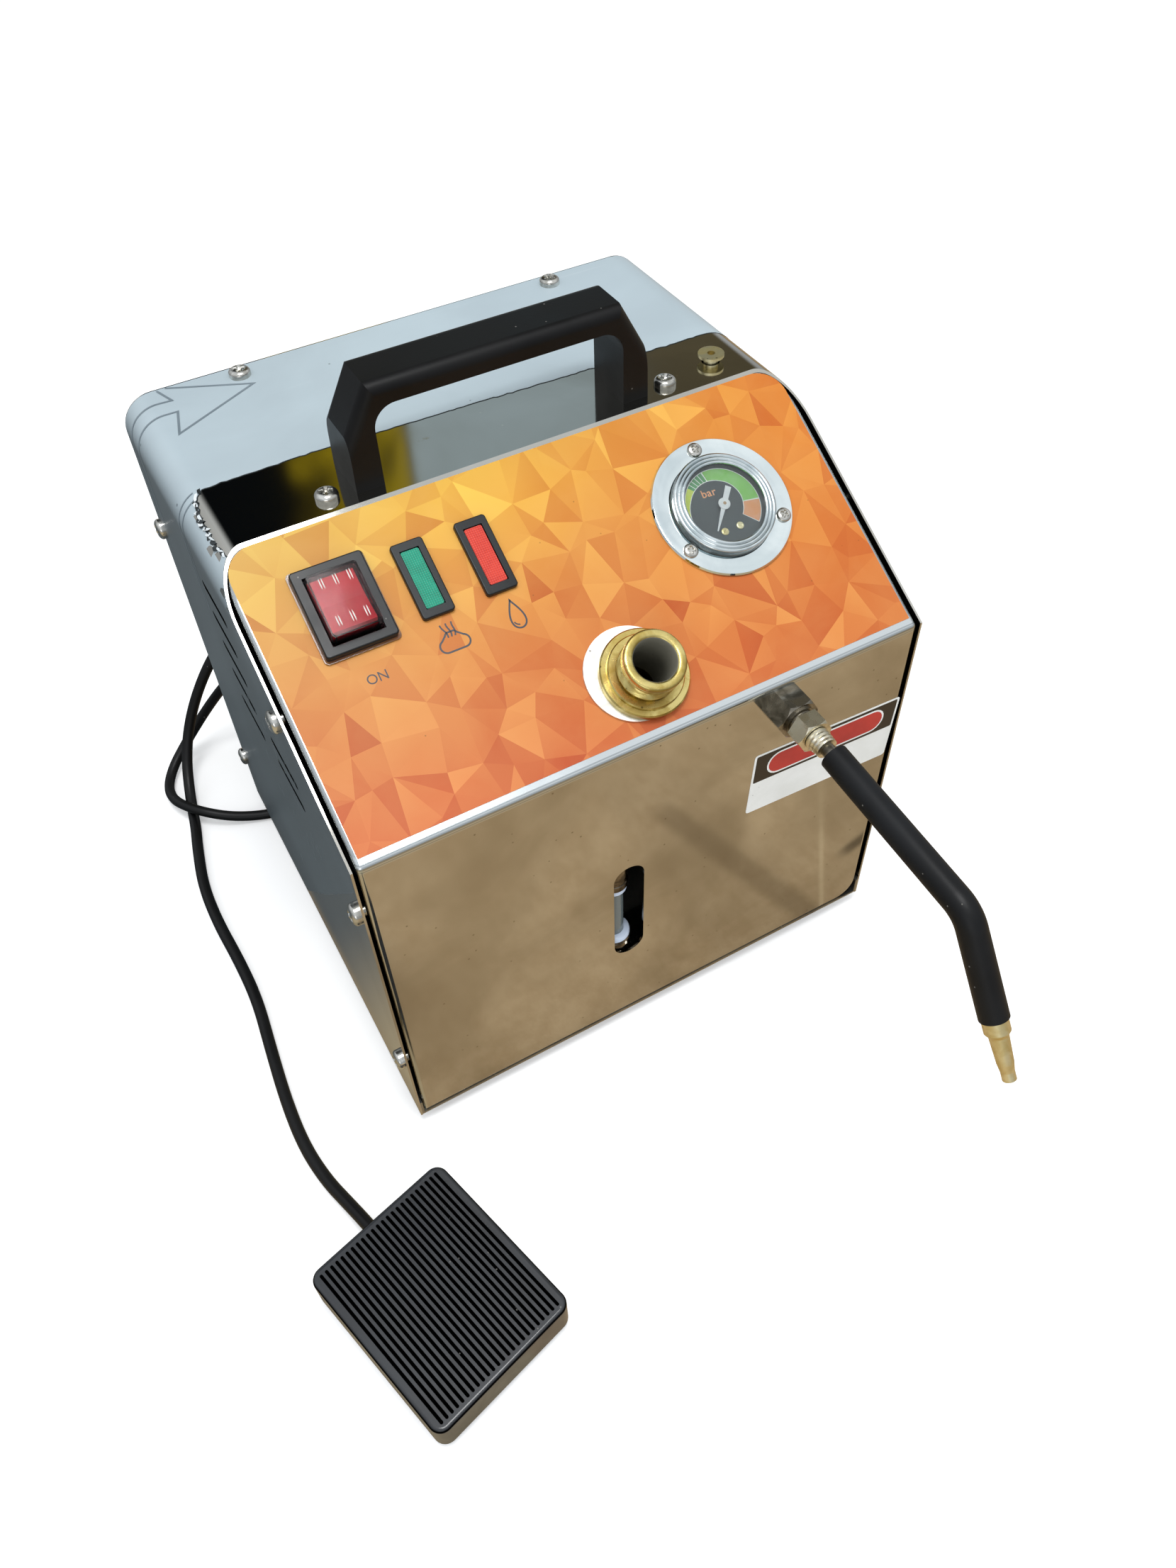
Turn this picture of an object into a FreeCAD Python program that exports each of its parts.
import FreeCAD, Part
import math
import os

import Sketcher
from FreeCAD import Placement, Rotation, Vector

# Jewelry steam cleaner with a foot switch, in millimetres.
# The origin is the centre of the base plate's underside. X points to the machine's right,
# -Y to its front and Z up. The rubber feet and the pedal stand on the floor below the plate.

SIZES = {
    # folded case
    "case_width": 270.0,
    "case_depth": 245.6,
    "case_height": 270.0,
    "front_height": 202.5,
    "slope_run": 118.7,
    "bend_radius": 15.4,
    "cover_sheet": 1.0,
    "panel_sheet": 1.2,
    "panel_gap": 1.4,
    "panel_bend": 2.6,
    "panel_bottom": 2.0,
    "panel_corner": 12.5,
    "flange_depth": 18.0,
    "top_flange_depth": 13.4,
    "base_sheet": 1.2,
    "base_flange": 12.0,
    "base_press": 0.5,
    "base_field_width": 190.0,
    "base_field_length": 184.0,
    "base_field_corner": 12.0,
    "overlay_sheet": 0.25,
    "overlay_left": 4.9,
    "overlay_right": 5.0,
    "overlay_bottom": 4.2,
    "overlay_top": 134.5,
    "overlay_corner": 13.0,
    # screws that hold the case
    "screw_head": 5.0,
    "screw_head_rise": 3.8,
    "screw_shank": 2.4,
    "screw_length": 8.0,
    "screw_hole": 2.65,
    "top_screw_half_spacing": 80.1,
    "top_screw_setback": 10.0,
    "rear_screw_inset": 8.6,
    "front_screw_inset": 7.8,
    "side_screw_low": 47.0,
    "side_screw_drop": 34.5,
    "rear_screw_low": 42.0,
    "rear_screw_drop": 64.0,
    "slope_screw_run": 62.7,
    "slope_screw_drop": 9.56,
    "tool_length": 12.0,
    "tool_sink": 8.0,
    # air slots in both side walls
    "air_slot_width": 4.4,
    "rear_slot_centre": 11.5,
    "rear_slot_length": 32.5,
    "rear_slot_bottom": 166.4,
    "rear_slot_pitch": 17.0,
    "front_slot_centre": -42.3,
    "front_slot_length": 33.0,
    "front_slot_bottom": 172.6,
    "front_slot_pitch": 14.4,
    # feet
    "foot_height": 8.0,
    "foot_top": 10.5,
    "foot_bottom": 9.0,
    "foot_recess": 5.2,
    "foot_recess_depth": 3.6,
    "foot_side_inset": 27.0,
    "foot_front_inset": 24.8,
    "foot_rear_inset": 46.8,
    "foot_screw": 2.0,
    # carrying handle
    "handle_half": 68.7,
    "handle_kink_half": 68.3,
    "handle_kink_rise": 23.8,
    "handle_top_half": 57.2,
    "handle_rise": 44.2,
    "handle_leg": 12.3,
    "handle_bar": 9.4,
    "handle_depth": 25.6,
    "handle_setback": 18.7,
    "handle_gap_round": 10.0,
    "handle_edge_round": 5.0,
    "handle_screw_depth": 12.0,
    # mains rocker switch under its clear boot
    "rocker_x": -94.2,
    "rocker_v": 97.65,
    "rocker_gasket_width": 32.3,
    "rocker_gasket_length": 40.0,
    "rocker_gasket_sheet": 0.9,
    "rocker_gasket_corner": 2.0,
    "rocker_frame_width": 30.5,
    "rocker_frame_length": 37.8,
    "rocker_frame_rise": 3.35,
    "rocker_frame_corner": 1.6,
    "rocker_frame_edge": 0.7,
    "rocker_window_width": 22.3,
    "rocker_window_length": 30.0,
    "rocker_ledge_drop": 2.3,
    "rocker_ledge": 0.85,
    "rocker_body_width": 26.6,
    "rocker_body_length": 34.0,
    "rocker_body_depth": 28.0,
    "rocker_cavity_depth": 10.0,
    "boot_top_width": 20.9,
    "boot_top_length": 26.8,
    "boot_rise": 9.3,
    "boot_wall": 0.8,
    "boot_clearance": 0.1,
    "boot_nick": 1.0,
    "button_half_length": 11.8,
    "button_width": 18.5,
    "button_end_rise": 5.2,
    "button_waist_rise": 4.2,
    "button_bottom_half": 9.0,
    "button_drop": 6.5,
    "button_pivot_drop": 3.0,
    "button_pin": 1.2,
    "button_tilt": 8.0,
    "running_clearance": 0.05,
    # indicator lamps
    "lamp_v": 97.3,
    "green_lamp_x": -60.8,
    "red_lamp_x": -32.7,
    "lamp_width": 14.1,
    "lamp_length": 33.6,
    "lamp_rise": 2.3,
    "lamp_corner": 1.5,
    "lamp_edge": 0.6,
    "lamp_lens_width": 7.8,
    "lamp_lens_length": 25.5,
    "lamp_lens_sheet": 1.8,
    "lamp_lens_corner": 0.8,
    "lamp_lens_recess": 0.5,
    "lamp_lens_gap": 0.3,
    "lamp_body_width": 11.0,
    "lamp_body_length": 30.0,
    "lamp_body_depth": 22.0,
    "cutout_clearance": 0.2,
    # pressure gauge
    "gauge_x": 73.8,
    "gauge_v": 81.4,
    "gauge_flange": 32.25,
    "gauge_flange_sheet": 1.55,
    "gauge_cup": 21.0,
    "gauge_cup_wall": 1.2,
    "gauge_cup_depth": 30.0,
    "gauge_lens": 23.0,
    "gauge_lens_rise": 3.0,
    "gauge_lens_wall": 0.9,
    "gauge_lens_edge": 1.2,
    "gauge_flange_edge": 0.6,
    "gauge_dial_sheet": 0.6,
    "gauge_screw_circle": 27.6,
    "gauge_screw_head": 2.6,
    "gauge_screw_rise": 1.3,
    "gauge_screw_shank": 1.2,
    "gauge_screw_length": 5.0,
    "gauge_stem": 6.0,
    "gauge_stem_length": 12.0,
    "capillary": 2.0,
    "capillary_bend": 9.0,
    "capillary_run": 13.0,
    "capillary_side": 8.0,
    "capillary_step": 4.0,
    "capillary_rise": 18.0,
    "capillary_foot": 3.0,
    "capillary_end_y": 8.0,
    "needle_length": 16.1,
    "needle_tail": 8.9,
    "needle_width": 0.8,
    "needle_tail_width": 3.0,
    "needle_sheet": 0.4,
    "needle_lift": 1.0,
    "needle_hub": 2.5,
    "needle_pin": 0.9,
    "needle_angle": 229.0,
    # filler neck
    "filler_x": 5.3,
    "filler_v": 26.5,
    "filler_washer": 21.9,
    "filler_washer_sheet": 1.3,
    "filler_collar": 19.3,
    "filler_collar_rise": 4.6,
    "filler_collar_step": 16.4,
    "filler_collar_step_rise": 6.2,
    "filler_thread": 13.2,
    "filler_neck": 12.8,
    "filler_undercut": 12.3,
    "filler_undercut_length": 1.4,
    "filler_neck_rise": 20.0,
    "filler_neck_drop": 14.0,
    "filler_neck_chamfer": 0.6,
    "filler_bore": 9.1,
    "filler_locknut": 20.8,
    "filler_locknut_height": 7.0,
    "filler_pipe": 11.0,
    "filler_pipe_length": 52.0,
    # relief valve with its lifting disc
    "relief_side_inset": 27.0,
    "relief_setback": 15.6,
    "relief_disc": 6.0,
    "relief_disc_sheet": 1.2,
    "relief_disc_top": 4.0,
    "relief_eye": 1.8,
    "relief_eye_depth": 5.0,
    "relief_stem": 3.4,
    "relief_stem_length": 42.0,
    "relief_hole_clearance": 0.8,
    "relief_body": 8.5,
    "relief_body_drop": 18.0,
    "relief_body_bottom": 106.0,
    "relief_inlet": 6.0,
    "relief_inlet_z": 118.0,
    "relief_play": 3.0,
    # steam outlet and pipe
    "outlet_x": 63.5,
    "outlet_z": 188.2,
    "outlet_nut_flats": 18.0,
    "outlet_nut_end": 10.5,
    "outlet_collar": 7.2,
    "outlet_collar_end": 13.5,
    "outlet_thread": 6.4,
    "outlet_inner_nut_flats": 19.0,
    "outlet_inner_nut": 5.0,
    "outlet_inner_length": 12.0,
    "outlet_hole_clearance": 0.3,
    "compression_nut_flats": 15.0,
    "compression_nut_end": 22.0,
    "spigot_end": 29.7,
    "spigot_root": 4.9,
    "spigot_barb": 5.65,
    "pipe_radius": 3.2,
    "pipe_bore": 2.0,
    "sleeve_radius": 6.2,
    "pipe_bend_out": 118.7,
    "pipe_bend_z": 180.9,
    "pipe_tip_out": 145.9,
    "pipe_tip_z": 143.3,
    "pipe_bend_radius": 15.0,
    "nozzle_length": 28.4,
    "nozzle_hex": 5.4,
    "nozzle_tip": 2.9,
    "nozzle_bore": 1.0,
    "nozzle_grip": 6.0,
    "nozzle_gap": 0.3,
    "sleeve_gap": 1.5,
    "pipe_fit": 0.02,
    # valve behind the outlet
    "valve_width": 24.0,
    "valve_length": 38.0,
    "valve_coil": 15.0,
    "valve_coil_length": 36.0,
    "steam_line_radius": 4.0,
    "steam_line_y": -45.0,
    # sight glass
    "sight_x": -14.6,
    "sight_slot_width": 16.1,
    "sight_slot_bottom": 56.2,
    "sight_slot_top": 124.6,
    "sight_tube_x": -18.0,
    "sight_tube": 5.0,
    "sight_tube_wall": 1.2,
    "sight_tube_setback": 9.5,
    "sight_seal": 7.0,
    "sight_seal_height": 5.0,
    "sight_elbow": 7.2,
    "sight_elbow_height": 13.0,
    "sight_elbow_reach": 7.0,
    "sight_inlet": 5.0,
    # boiler
    "boiler_x": 10.0,
    "boiler_y": -10.0,
    "boiler_radius": 80.0,
    "boiler_wall": 1.5,
    "boiler_bottom": 30.0,
    "boiler_top": 160.0,
    "boiler_round": 6.0,
    "boiler_stand": 70.0,
    "boiler_stand_wall": 1.5,
    "heater_z": 52.0,
    "heater_rod": 4.0,
    "heater_half": 10.0,
    "heater_reach": 110.0,
    "heater_spigot": 16.0,
    "heater_flats": 41.0,
    "heater_head": 9.0,
    "heater_terminal": 2.5,
    "heater_terminal_length": 12.0,
    "pressure_switch_x": -25.0,
    "pressure_switch_y": 22.0,
    "pressure_switch_radius": 14.0,
    "terminal_block_length": 62.0,
    "terminal_block_width": 22.0,
    "terminal_block_height": 15.0,
    "terminal_block_x": -104.0,
    "terminal_block_y": 30.0,
    # cable outlets in the back panel
    "gland_x": -108.0,
    "pedal_gland_z": 98.0,
    "mains_gland_z": 66.0,
    "gland_neck": 6.2,
    "gland_flange": 9.0,
    "gland_flange_sheet": 2.5,
    "gland_length": 25.0,
    "gland_tip": 4.2,
    # cords
    "pedal_cord_radius": 3.2,
    "mains_cord_radius": 3.0,
    "coil_x": 12.0,
    "coil_y": 196.0,
    "coil_inner": 24.0,
    "coil_outer": 42.0,
    "coil_height": 12.0,
    "tie_width": 12.0,
    "tie_sheet": 1.0,
    # mains plug
    "plug_x": 120.0,
    "plug_y": 168.0,
    "plug_turn": 92.0,
    "plug_length": 34.0,
    "plug_width": 35.0,
    "plug_neck_width": 14.0,
    "plug_thickness": 13.6,
    "plug_pin": 2.0,
    "plug_pin_length": 19.0,
    "plug_pin_spacing": 18.6,
    # foot switch
    "pedal_x": -163.7,
    "pedal_y": -210.2,
    "pedal_turn": 15.2,
    "pedal_width": 75.6,
    "pedal_length": 91.0,
    "pedal_height": 26.0,
    "pedal_corner": 6.0,
    "pedal_edge_round": 2.0,
    "pedal_skirt_bottom": 6.4,
    "pedal_wall": 2.2,
    "pedal_top_sheet": 3.2,
    "pedal_groove_count": 24.0,
    "pedal_groove_pitch": 2.86,
    "pedal_groove_width": 1.5,
    "pedal_groove_depth": 1.1,
    "pedal_groove_end": 3.4,
    "pedal_pad": 1.2,
    "pedal_pad_radius": 5.0,
    "pedal_pad_inset": 9.0,
    "pedal_base_clearance": 1.2,
    "pedal_base_sheet": 2.6,
    "pedal_base_wall": 1.8,
    "pedal_base_rise": 14.5,
    "pedal_pin_radius": 1.5,
    "pedal_pin_rise": 17.0,
    "pedal_pin_inset": 9.0,
    "pedal_pin_short": 0.6,
    "pedal_ear_thickness": 4.0,
    "pedal_travel_degrees": 3.0,
    "pedal_spring_radius": 5.5,
    "pedal_spring_wire": 0.7,
    "pedal_spring_turns": 5.0,
    "pedal_spring_gap": 0.3,
    "pedal_spring_y": -7.0,
    "pedal_switch_length": 20.0,
    "pedal_switch_width": 6.4,
    "pedal_switch_height": 10.0,
    "pedal_switch_plunger": 1.3,
    "pedal_switch_y": -28.0,
    "pedal_cord_x": -2.5,
    "pedal_cord_rise": 9.4,
}

# Routes of the free cords, as corner points of their centre lines.
PEDAL_CORD_ROUTE = [
    (-108.0, 147.8, 98.0), (-110.6, 161.8, 92.4), (-117.7, 170.9, 82.4), (-126.7, 174.7, 70.5),
    (-136.0, 175.4, 58.2), (-144.8, 174.4, 45.6), (-152.8, 172.5, 32.5), (-160.0, 168.5, 19.4),
    (-166.1, 160.7, 7.7), (-170.7, 148.4, -0.2), (-174.2, 134.0, -4.2), (-176.8, 119.0, -4.7),
    (-180.5, 104.0, -4.7), (-186.3, 75.0, -4.7), (-187.0, 45.0, -4.7), (-184.8, 15.0, -4.7),
    (-184.3, -15.0, -4.7), (-188.0, -47.0, -4.7), (-191.2, -79.0, -4.7), (-191.8, -106.0, -4.7),
    (-188.6, -128.0, -4.2), (-183.4, -146.0, -1.6), (-179.6, -159.5, 0.7), (-177.2, -169.1, 1.4),
]
MAINS_CORD_ROUTE = [
    (-108.0, 147.8, 66.0), (-110.2, 161.4, 63.1), (-117.8, 170.3, 55.0), (-126.8, 174.8, 44.9),
    (-135.5, 178.4, 34.1), (-144.0, 181.4, 23.0), (-153.4, 182.2, 12.3), (-164.1, 179.2, 3.4),
    (-174.7, 171.8, -2.5), (-181.8, 159.7, -4.3), (-182.3, 145.7, -1.3), (-177.7, 132.6, 2.5),
    (-168.7, 121.6, 2.5), (-156.8, 114.2, -1.0), (-143.7, 109.2, -3.8), (-130.0, 105.3, -4.9),
    (-115.9, 103.1, -4.9), (-101.9, 105.3, -4.9), (-90.4, 113.6, -4.9), (-82.3, 125.4, -4.9),
    (-76.8, 138.2, -4.9), (-70.1, 151.4, -4.9), (-62.3, 163.3, -4.9), (-51.8, 172.9, -4.4),
    (-39.4, 180.1, -3.7), (-26.2, 185.6, -3.2),
]
MAINS_TAIL_ROUTE = [
    (51.0, 187.0, -2.0), (60.6, 177.2, -1.6), (73.0, 169.5, -1.2), (86.4, 166.8, -1.2),
]

doc = FreeCAD.newDocument("steam_cleaner")
sheet = doc.addObject("Spreadsheet::Sheet", "sizes")
nodes = {}


class Size:
    """A number together with the spreadsheet expression it comes from."""

    def __init__(self, value, text):
        self.value = value
        self.text = text

    def __float__(self):
        return float(self.value)

    def __add__(self, other):
        return Size(self.value + float(other), f"({self.text} + {text_of(other)})")

    def __radd__(self, other):
        return Size(float(other) + self.value, f"({text_of(other)} + {self.text})")

    def __sub__(self, other):
        return Size(self.value - float(other), f"({self.text} - {text_of(other)})")

    def __rsub__(self, other):
        return Size(float(other) - self.value, f"({text_of(other)} - {self.text})")

    def __mul__(self, other):
        return Size(self.value * float(other), f"({self.text} * {text_of(other)})")

    def __rmul__(self, other):
        return Size(float(other) * self.value, f"({text_of(other)} * {self.text})")

    def __truediv__(self, other):
        return Size(self.value / float(other), f"({self.text} / {text_of(other)})")

    def __rtruediv__(self, other):
        return Size(float(other) / self.value, f"({text_of(other)} / {self.text})")

    def __neg__(self):
        return Size(-self.value, f"(0 - {self.text})")


def text_of(number):
    """The expression text of a Size or of a plain number."""
    if isinstance(number, Size):
        return number.text
    return f"({float(number)!r})"


def root(square):
    """The square root of a Size."""
    return Size(math.sqrt(float(square)), f"sqrt({square.text})")


class SizeSheet:
    """Every driving dimension by its alias, each one a Size bound to its cell."""

    def __init__(self, table):
        for row, (alias, value) in enumerate(table.items(), start=1):
            sheet.set(f"A{row}", alias)
            sheet.set(f"B{row}", repr(value))
            sheet.setAlias(f"B{row}", alias)
            setattr(self, alias, Size(value, f"sizes.{alias}"))


size = SizeSheet(SIZES)
doc.recompute()

# Lines and planes that several pieces share
half_width = size.case_width / 2
front_y = -size.case_depth / 2
back_y = size.case_depth / 2
slope_rise = size.case_height - size.front_height
slope_length = root(size.slope_run * size.slope_run + slope_rise * slope_rise)
slope_cos = size.slope_run / slope_length
slope_sin = slope_rise / slope_length
slope_tan = slope_rise / size.slope_run
slope_degrees = math.degrees(math.atan2(float(slope_rise), float(size.slope_run)))
cover_inside = half_width - size.cover_sheet
cover_underside = size.case_height - size.cover_sheet
top_edge_y = front_y + size.slope_run
handle_y = top_edge_y + size.handle_setback
handle_gap_half = size.handle_half - size.handle_leg
handle_screw_x = size.handle_half - size.handle_leg / 2
relief_x = half_width - size.relief_side_inset
relief_y = top_edge_y + size.relief_setback
relief_body_top = size.case_height - size.relief_body_drop
top_screw_y = top_edge_y + size.top_screw_setback
rear_screw_y = back_y - size.rear_screw_inset
base_level = size.base_press + size.base_sheet
floor_z = -size.foot_height

FACES_FRONT = Rotation(Vector(1, 0, 0), 90)
FACES_BACK = Rotation(Vector(1, 0, 0), -90)
FACES_RIGHT = Rotation(Vector(0, 1, 0), 90)
FACES_LEFT = Rotation(Vector(0, 1, 0), -90)
ON_SLOPE = Rotation(Vector(1, 0, 0), slope_degrees)
SKETCH_PLANES = {
    "XY_Plane": Rotation(),
    "XZ_Plane": Rotation(Vector(1, 0, 0), 90),
    "YZ_Plane": Rotation(Vector(1, 1, 1), 120),
}


def bind(thing, prop, value):
    """Give a property its value, and its expression where the value comes from the sheet."""
    if isinstance(value, Size):
        thing.setExpression(prop, value.text)
    else:
        setattr(thing, prop, value)


def put(thing, x, y, z, turn=Rotation()):
    """Place a piece at a point of the machine's frame."""
    thing.Placement = Placement(Vector(float(x), float(y), float(z)), turn)
    for axis, value in zip("xyz", (x, y, z)):
        if isinstance(value, Size):
            thing.setExpression(f"Placement.Base.{axis}", value.text)
    return thing


def slope_point(x, along, lift=0.0):
    """A point beside the sloped face: sideways, up along the slope and out along its normal."""
    y = front_y + along * slope_cos - lift * slope_sin
    z = size.front_height + along * slope_sin + lift * slope_cos
    return x, y, z


def vector_of(point):
    """A plain vector from three numbers or Sizes."""
    return Vector(*[float(value) for value in point])


def put_on_slope(thing, x, along, lift=0.0, turn=0.0):
    """Place a piece on the sloped face, its own Z along the face's outward normal."""
    return put(thing, *slope_point(x, along, lift), ON_SLOPE * Rotation(Vector(0, 0, 1), turn))


def keep(name, thing):
    """Register a finished sub-part under its node name."""
    thing.Label = name
    nodes[name] = thing
    return thing


def new_body(name):
    return doc.addObject("PartDesign::Body", name + "_body")


def origin_plane(body, role):
    return next(plane for plane in body.Origin.OriginFeatures if plane.Role == role)


def new_sketch(owner, name, role):
    """A sketch on an origin plane of its body, or free on that plane of the document."""
    if owner is None:
        sketch = doc.addObject("Sketcher::SketchObject", name)
        sketch.Placement = Placement(Vector(), SKETCH_PLANES[role])
        return sketch
    sketch = owner.newObject("Sketcher::SketchObject", name)
    sketch.AttachmentSupport = [(origin_plane(owner, role), "")]
    sketch.MapMode = "FlatFace"
    return sketch


def fix_point(sketch, geometry, point, x, y):
    """Tie one point of a sketch to the origin by its two distances."""
    for kind, axis, value in (("DistanceX", -2, x), ("DistanceY", -1, y)):
        if float(value) == 0.0:
            sketch.addConstraint(Sketcher.Constraint("PointOnObject", geometry, point, axis))
            continue
        number = Sketcher.Constraint(kind, -1, 1, geometry, point, float(value))
        index = sketch.addConstraint(number)
        if isinstance(value, Size):
            sketch.setExpression(f"Constraints[{index}]", value.text)


def draw_outline(owner, name, role, corners):
    """A closed outline of straight edges through the given corners."""
    sketch = new_sketch(owner, name, role)
    flat = [Vector(float(x), float(y), 0) for x, y in corners]
    count = len(flat)
    for index in range(count):
        sketch.addGeometry(Part.LineSegment(flat[index], flat[(index + 1) % count]))
    for index in range(count):
        following = (index + 1) % count
        sketch.addConstraint(Sketcher.Constraint("Coincident", index, 2, following, 1))
    for index, (x, y) in enumerate(corners):
        fix_point(sketch, index, 1, x, y)
    return sketch


def draw_slots(owner, name, role, centres, length, width):
    """Round-ended slots that run along the sketch's first axis, one at each centre."""
    sketch = new_sketch(owner, name, role)
    for x, y in centres:
        first = sketch.GeometryCount
        reach = (length - width) / 2
        radius = float(width) / 2
        left = Vector(float(x - reach), float(y), 0)
        right = Vector(float(x + reach), float(y), 0)
        up = Vector(0, radius, 0)
        normal = Vector(0, 0, 1)
        left_end = Part.ArcOfCircle(Part.Circle(left, normal, radius), math.pi / 2, 3 * math.pi / 2)
        right_end = Part.ArcOfCircle(Part.Circle(right, normal, radius), -math.pi / 2, math.pi / 2)
        sketch.addGeometry(left_end)
        sketch.addGeometry(right_end)
        sketch.addGeometry(Part.LineSegment(left - up, right - up))
        sketch.addGeometry(Part.LineSegment(right + up, left + up))
        for arc, arc_end, line, line_end in ((0, 2, 2, 1), (1, 1, 2, 2), (1, 2, 3, 1), (0, 1, 3, 2)):
            joint = Sketcher.Constraint("Tangent", first + arc, arc_end, first + line, line_end)
            sketch.addConstraint(joint)
        fix_point(sketch, first, 3, x - reach, y)
        fix_point(sketch, first + 1, 3, x + reach, y)
        index = sketch.addConstraint(Sketcher.Constraint("Radius", first, radius))
        if isinstance(width, Size):
            sketch.setExpression(f"Constraints[{index}]", (width / 2).text)
    return sketch


def pad(body, sketch, length, midplane=False, reverse=False):
    """Raise a sketch into a solid."""
    feature = body.newObject("PartDesign::Pad", sketch.Name + "_pad")
    feature.Profile = sketch
    bind(feature, "Length", length)
    feature.Midplane = midplane
    feature.Reversed = reverse
    return feature


def pocket(body, sketch, length=None, reverse=False):
    """Cut a sketch to a depth, or right through both ways when no depth is given."""
    feature = body.newObject("PartDesign::Pocket", sketch.Name + "_pocket")
    feature.Profile = sketch
    if length is None:
        feature.Type = "ThroughAll"
        feature.Midplane = True
    else:
        bind(feature, "Length", length)
        feature.Reversed = reverse
    return feature


def round_edges(body, radius, chosen):
    """Fillet the edges of a body's last feature that a test picks."""
    doc.recompute()
    last = body.Tip
    names = [f"Edge{number}" for number, edge in enumerate(last.Shape.Edges, start=1) if chosen(edge)]
    feature = body.newObject("PartDesign::Fillet", body.Name + "_round")
    feature.Base = (last, names)
    bind(feature, "Radius", radius)
    return feature


def round_rim(body, radius, level):
    """Fillet every edge of a body's last feature that lies at its top level."""
    top_level = float(level) - 0.01
    return round_edges(body, radius, lambda edge: edge.CenterOfMass.z > top_level)


def is_along(edge, direction):
    """True for a straight edge that runs along a direction."""
    if not isinstance(edge.Curve, (Part.Line, Part.LineSegment)):
        return False
    run = edge.Vertexes[-1].Point - edge.Vertexes[0].Point
    return run.cross(direction).Length < 1e-6 * max(run.Length, 1.0)


def turned(name, profile):
    """A piece turned about its own Z axis from a half profile of radii and heights."""
    body = new_body(name)
    sketch = draw_outline(body, name + "_profile", "XZ_Plane", profile)
    feature = body.newObject("PartDesign::Revolution", name + "_turning")
    feature.Profile = sketch
    feature.ReferenceAxis = (sketch, ["V_Axis"])
    feature.Angle = 360
    return body


def prism(name, role, corners, length):
    """An outline extruded both ways by half a length."""
    sketch = draw_outline(None, name + "_outline", role, corners)
    solid = doc.addObject("Part::Extrusion", name)
    solid.Base = sketch
    solid.DirMode = "Normal"
    solid.Solid = True
    solid.Symmetric = True
    bind(solid, "LengthFwd", length)
    return solid


def cylinder(name, radius, height):
    solid = doc.addObject("Part::Cylinder", name)
    bind(solid, "Radius", radius)
    bind(solid, "Height", height)
    return solid


def hexagon(name, flats, height):
    """A hexagonal bar of a given size across its flats."""
    solid = doc.addObject("Part::Prism", name)
    solid.Polygon = 6
    bind(solid, "Circumradius", flats / math.sqrt(3))
    bind(solid, "Height", height)
    return solid


def block(name, width, length, height):
    """A box centred on its own Z axis, standing on its XY plane."""
    corners = [(-width / 2, -length / 2), (width / 2, -length / 2),
               (width / 2, length / 2), (-width / 2, length / 2)]
    body = new_body(name)
    pad(body, draw_outline(body, name + "_plan", "XY_Plane", corners), height)
    return body


def rounded_block(name, width, length, height, radius):
    """A block with its four upright edges rounded."""
    body = block(name, width, length, height)
    round_edges(body, radius, lambda edge: is_along(edge, Vector(0, 0, 1)))
    return body


def fuse(name, *pieces):
    solid = doc.addObject("Part::MultiFuse", name)
    solid.Shapes = list(pieces)
    solid.Refine = True
    return solid


def cut(name, base, *tools):
    """One solid less one or more tools."""
    solid = doc.addObject("Part::Cut", name)
    solid.Base = base
    solid.Tool = tools[0] if len(tools) == 1 else fuse(name + "_tools", *tools)
    return solid


def common(name, first, second):
    solid = doc.addObject("Part::MultiCommon", name)
    solid.Shapes = [first, second]
    return solid


def copied(pattern, places):
    """Copies of one pattern shape, one at each place."""
    doc.recompute()
    shapes = []
    for place in places:
        shape = pattern.Shape.copy()
        shape.Placement = place.multiply(pattern.Shape.Placement)
        shapes.append(shape)
    return shapes


def keep_group(name, shapes):
    """Separate solids together in one node."""
    group = doc.addObject("Part::Feature", name)
    group.Shape = Part.makeCompound(shapes)
    return keep(name, group)


def place_of(point, turn=Rotation()):
    return Placement(vector_of(point), turn)


def route_wire(points, radii):
    """Straight runs joined by tangent arcs of the given radii at the inner corners."""
    corners = [vector_of(point) for point in points]
    edges = []
    start = corners[0]
    for index in range(1, len(corners) - 1):
        before = (corners[index - 1] - corners[index]).normalize()
        after = (corners[index + 1] - corners[index]).normalize()
        half_turn = (math.pi - before.getAngle(after)) / 2
        reach = radii[index - 1] * math.tan(half_turn)
        middle = (before + after).normalize()
        centre = corners[index] + middle * (radii[index - 1] / math.cos(half_turn))
        enter = corners[index] + before * reach
        leave = corners[index] + after * reach
        edges.append(Part.LineSegment(start, enter).toShape())
        edges.append(Part.Arc(enter, centre - middle * radii[index - 1], leave).toShape())
        start = leave
    edges.append(Part.LineSegment(start, corners[-1]).toShape())
    return Part.Wire(edges)


def cord_radii(points):
    """Arc radii that use 0.45 of the shorter run beside each corner."""
    corners = [Vector(*point) for point in points]
    radii = []
    for before, corner, after in zip(corners, corners[1:], corners[2:]):
        turn = (corner - before).getAngle(after - corner)
        shorter = min((corner - before).Length, (after - corner).Length)
        radii.append(0.45 * shorter / math.tan(turn / 2))
    return radii


def tube_along(wire, radius, bore=0.0):
    """A round bar or tube swept along a wire."""
    start = wire.Edges[0]
    heading = start.tangentAt(start.FirstParameter)
    circle = Part.Wire(Part.makeCircle(float(radius), start.valueAt(start.FirstParameter), heading))
    solid = wire.makePipeShell([circle], True, True)
    if float(bore) == 0.0:
        return solid
    hollow = Part.makeCircle(float(bore), start.valueAt(start.FirstParameter), heading)
    return solid.cut(wire.makePipeShell([Part.Wire(hollow)], True, True))


def feature_of(name, shape):
    """A finished shape as a document object."""
    thing = doc.addObject("Part::Feature", name)
    thing.Shape = shape
    return thing


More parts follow.
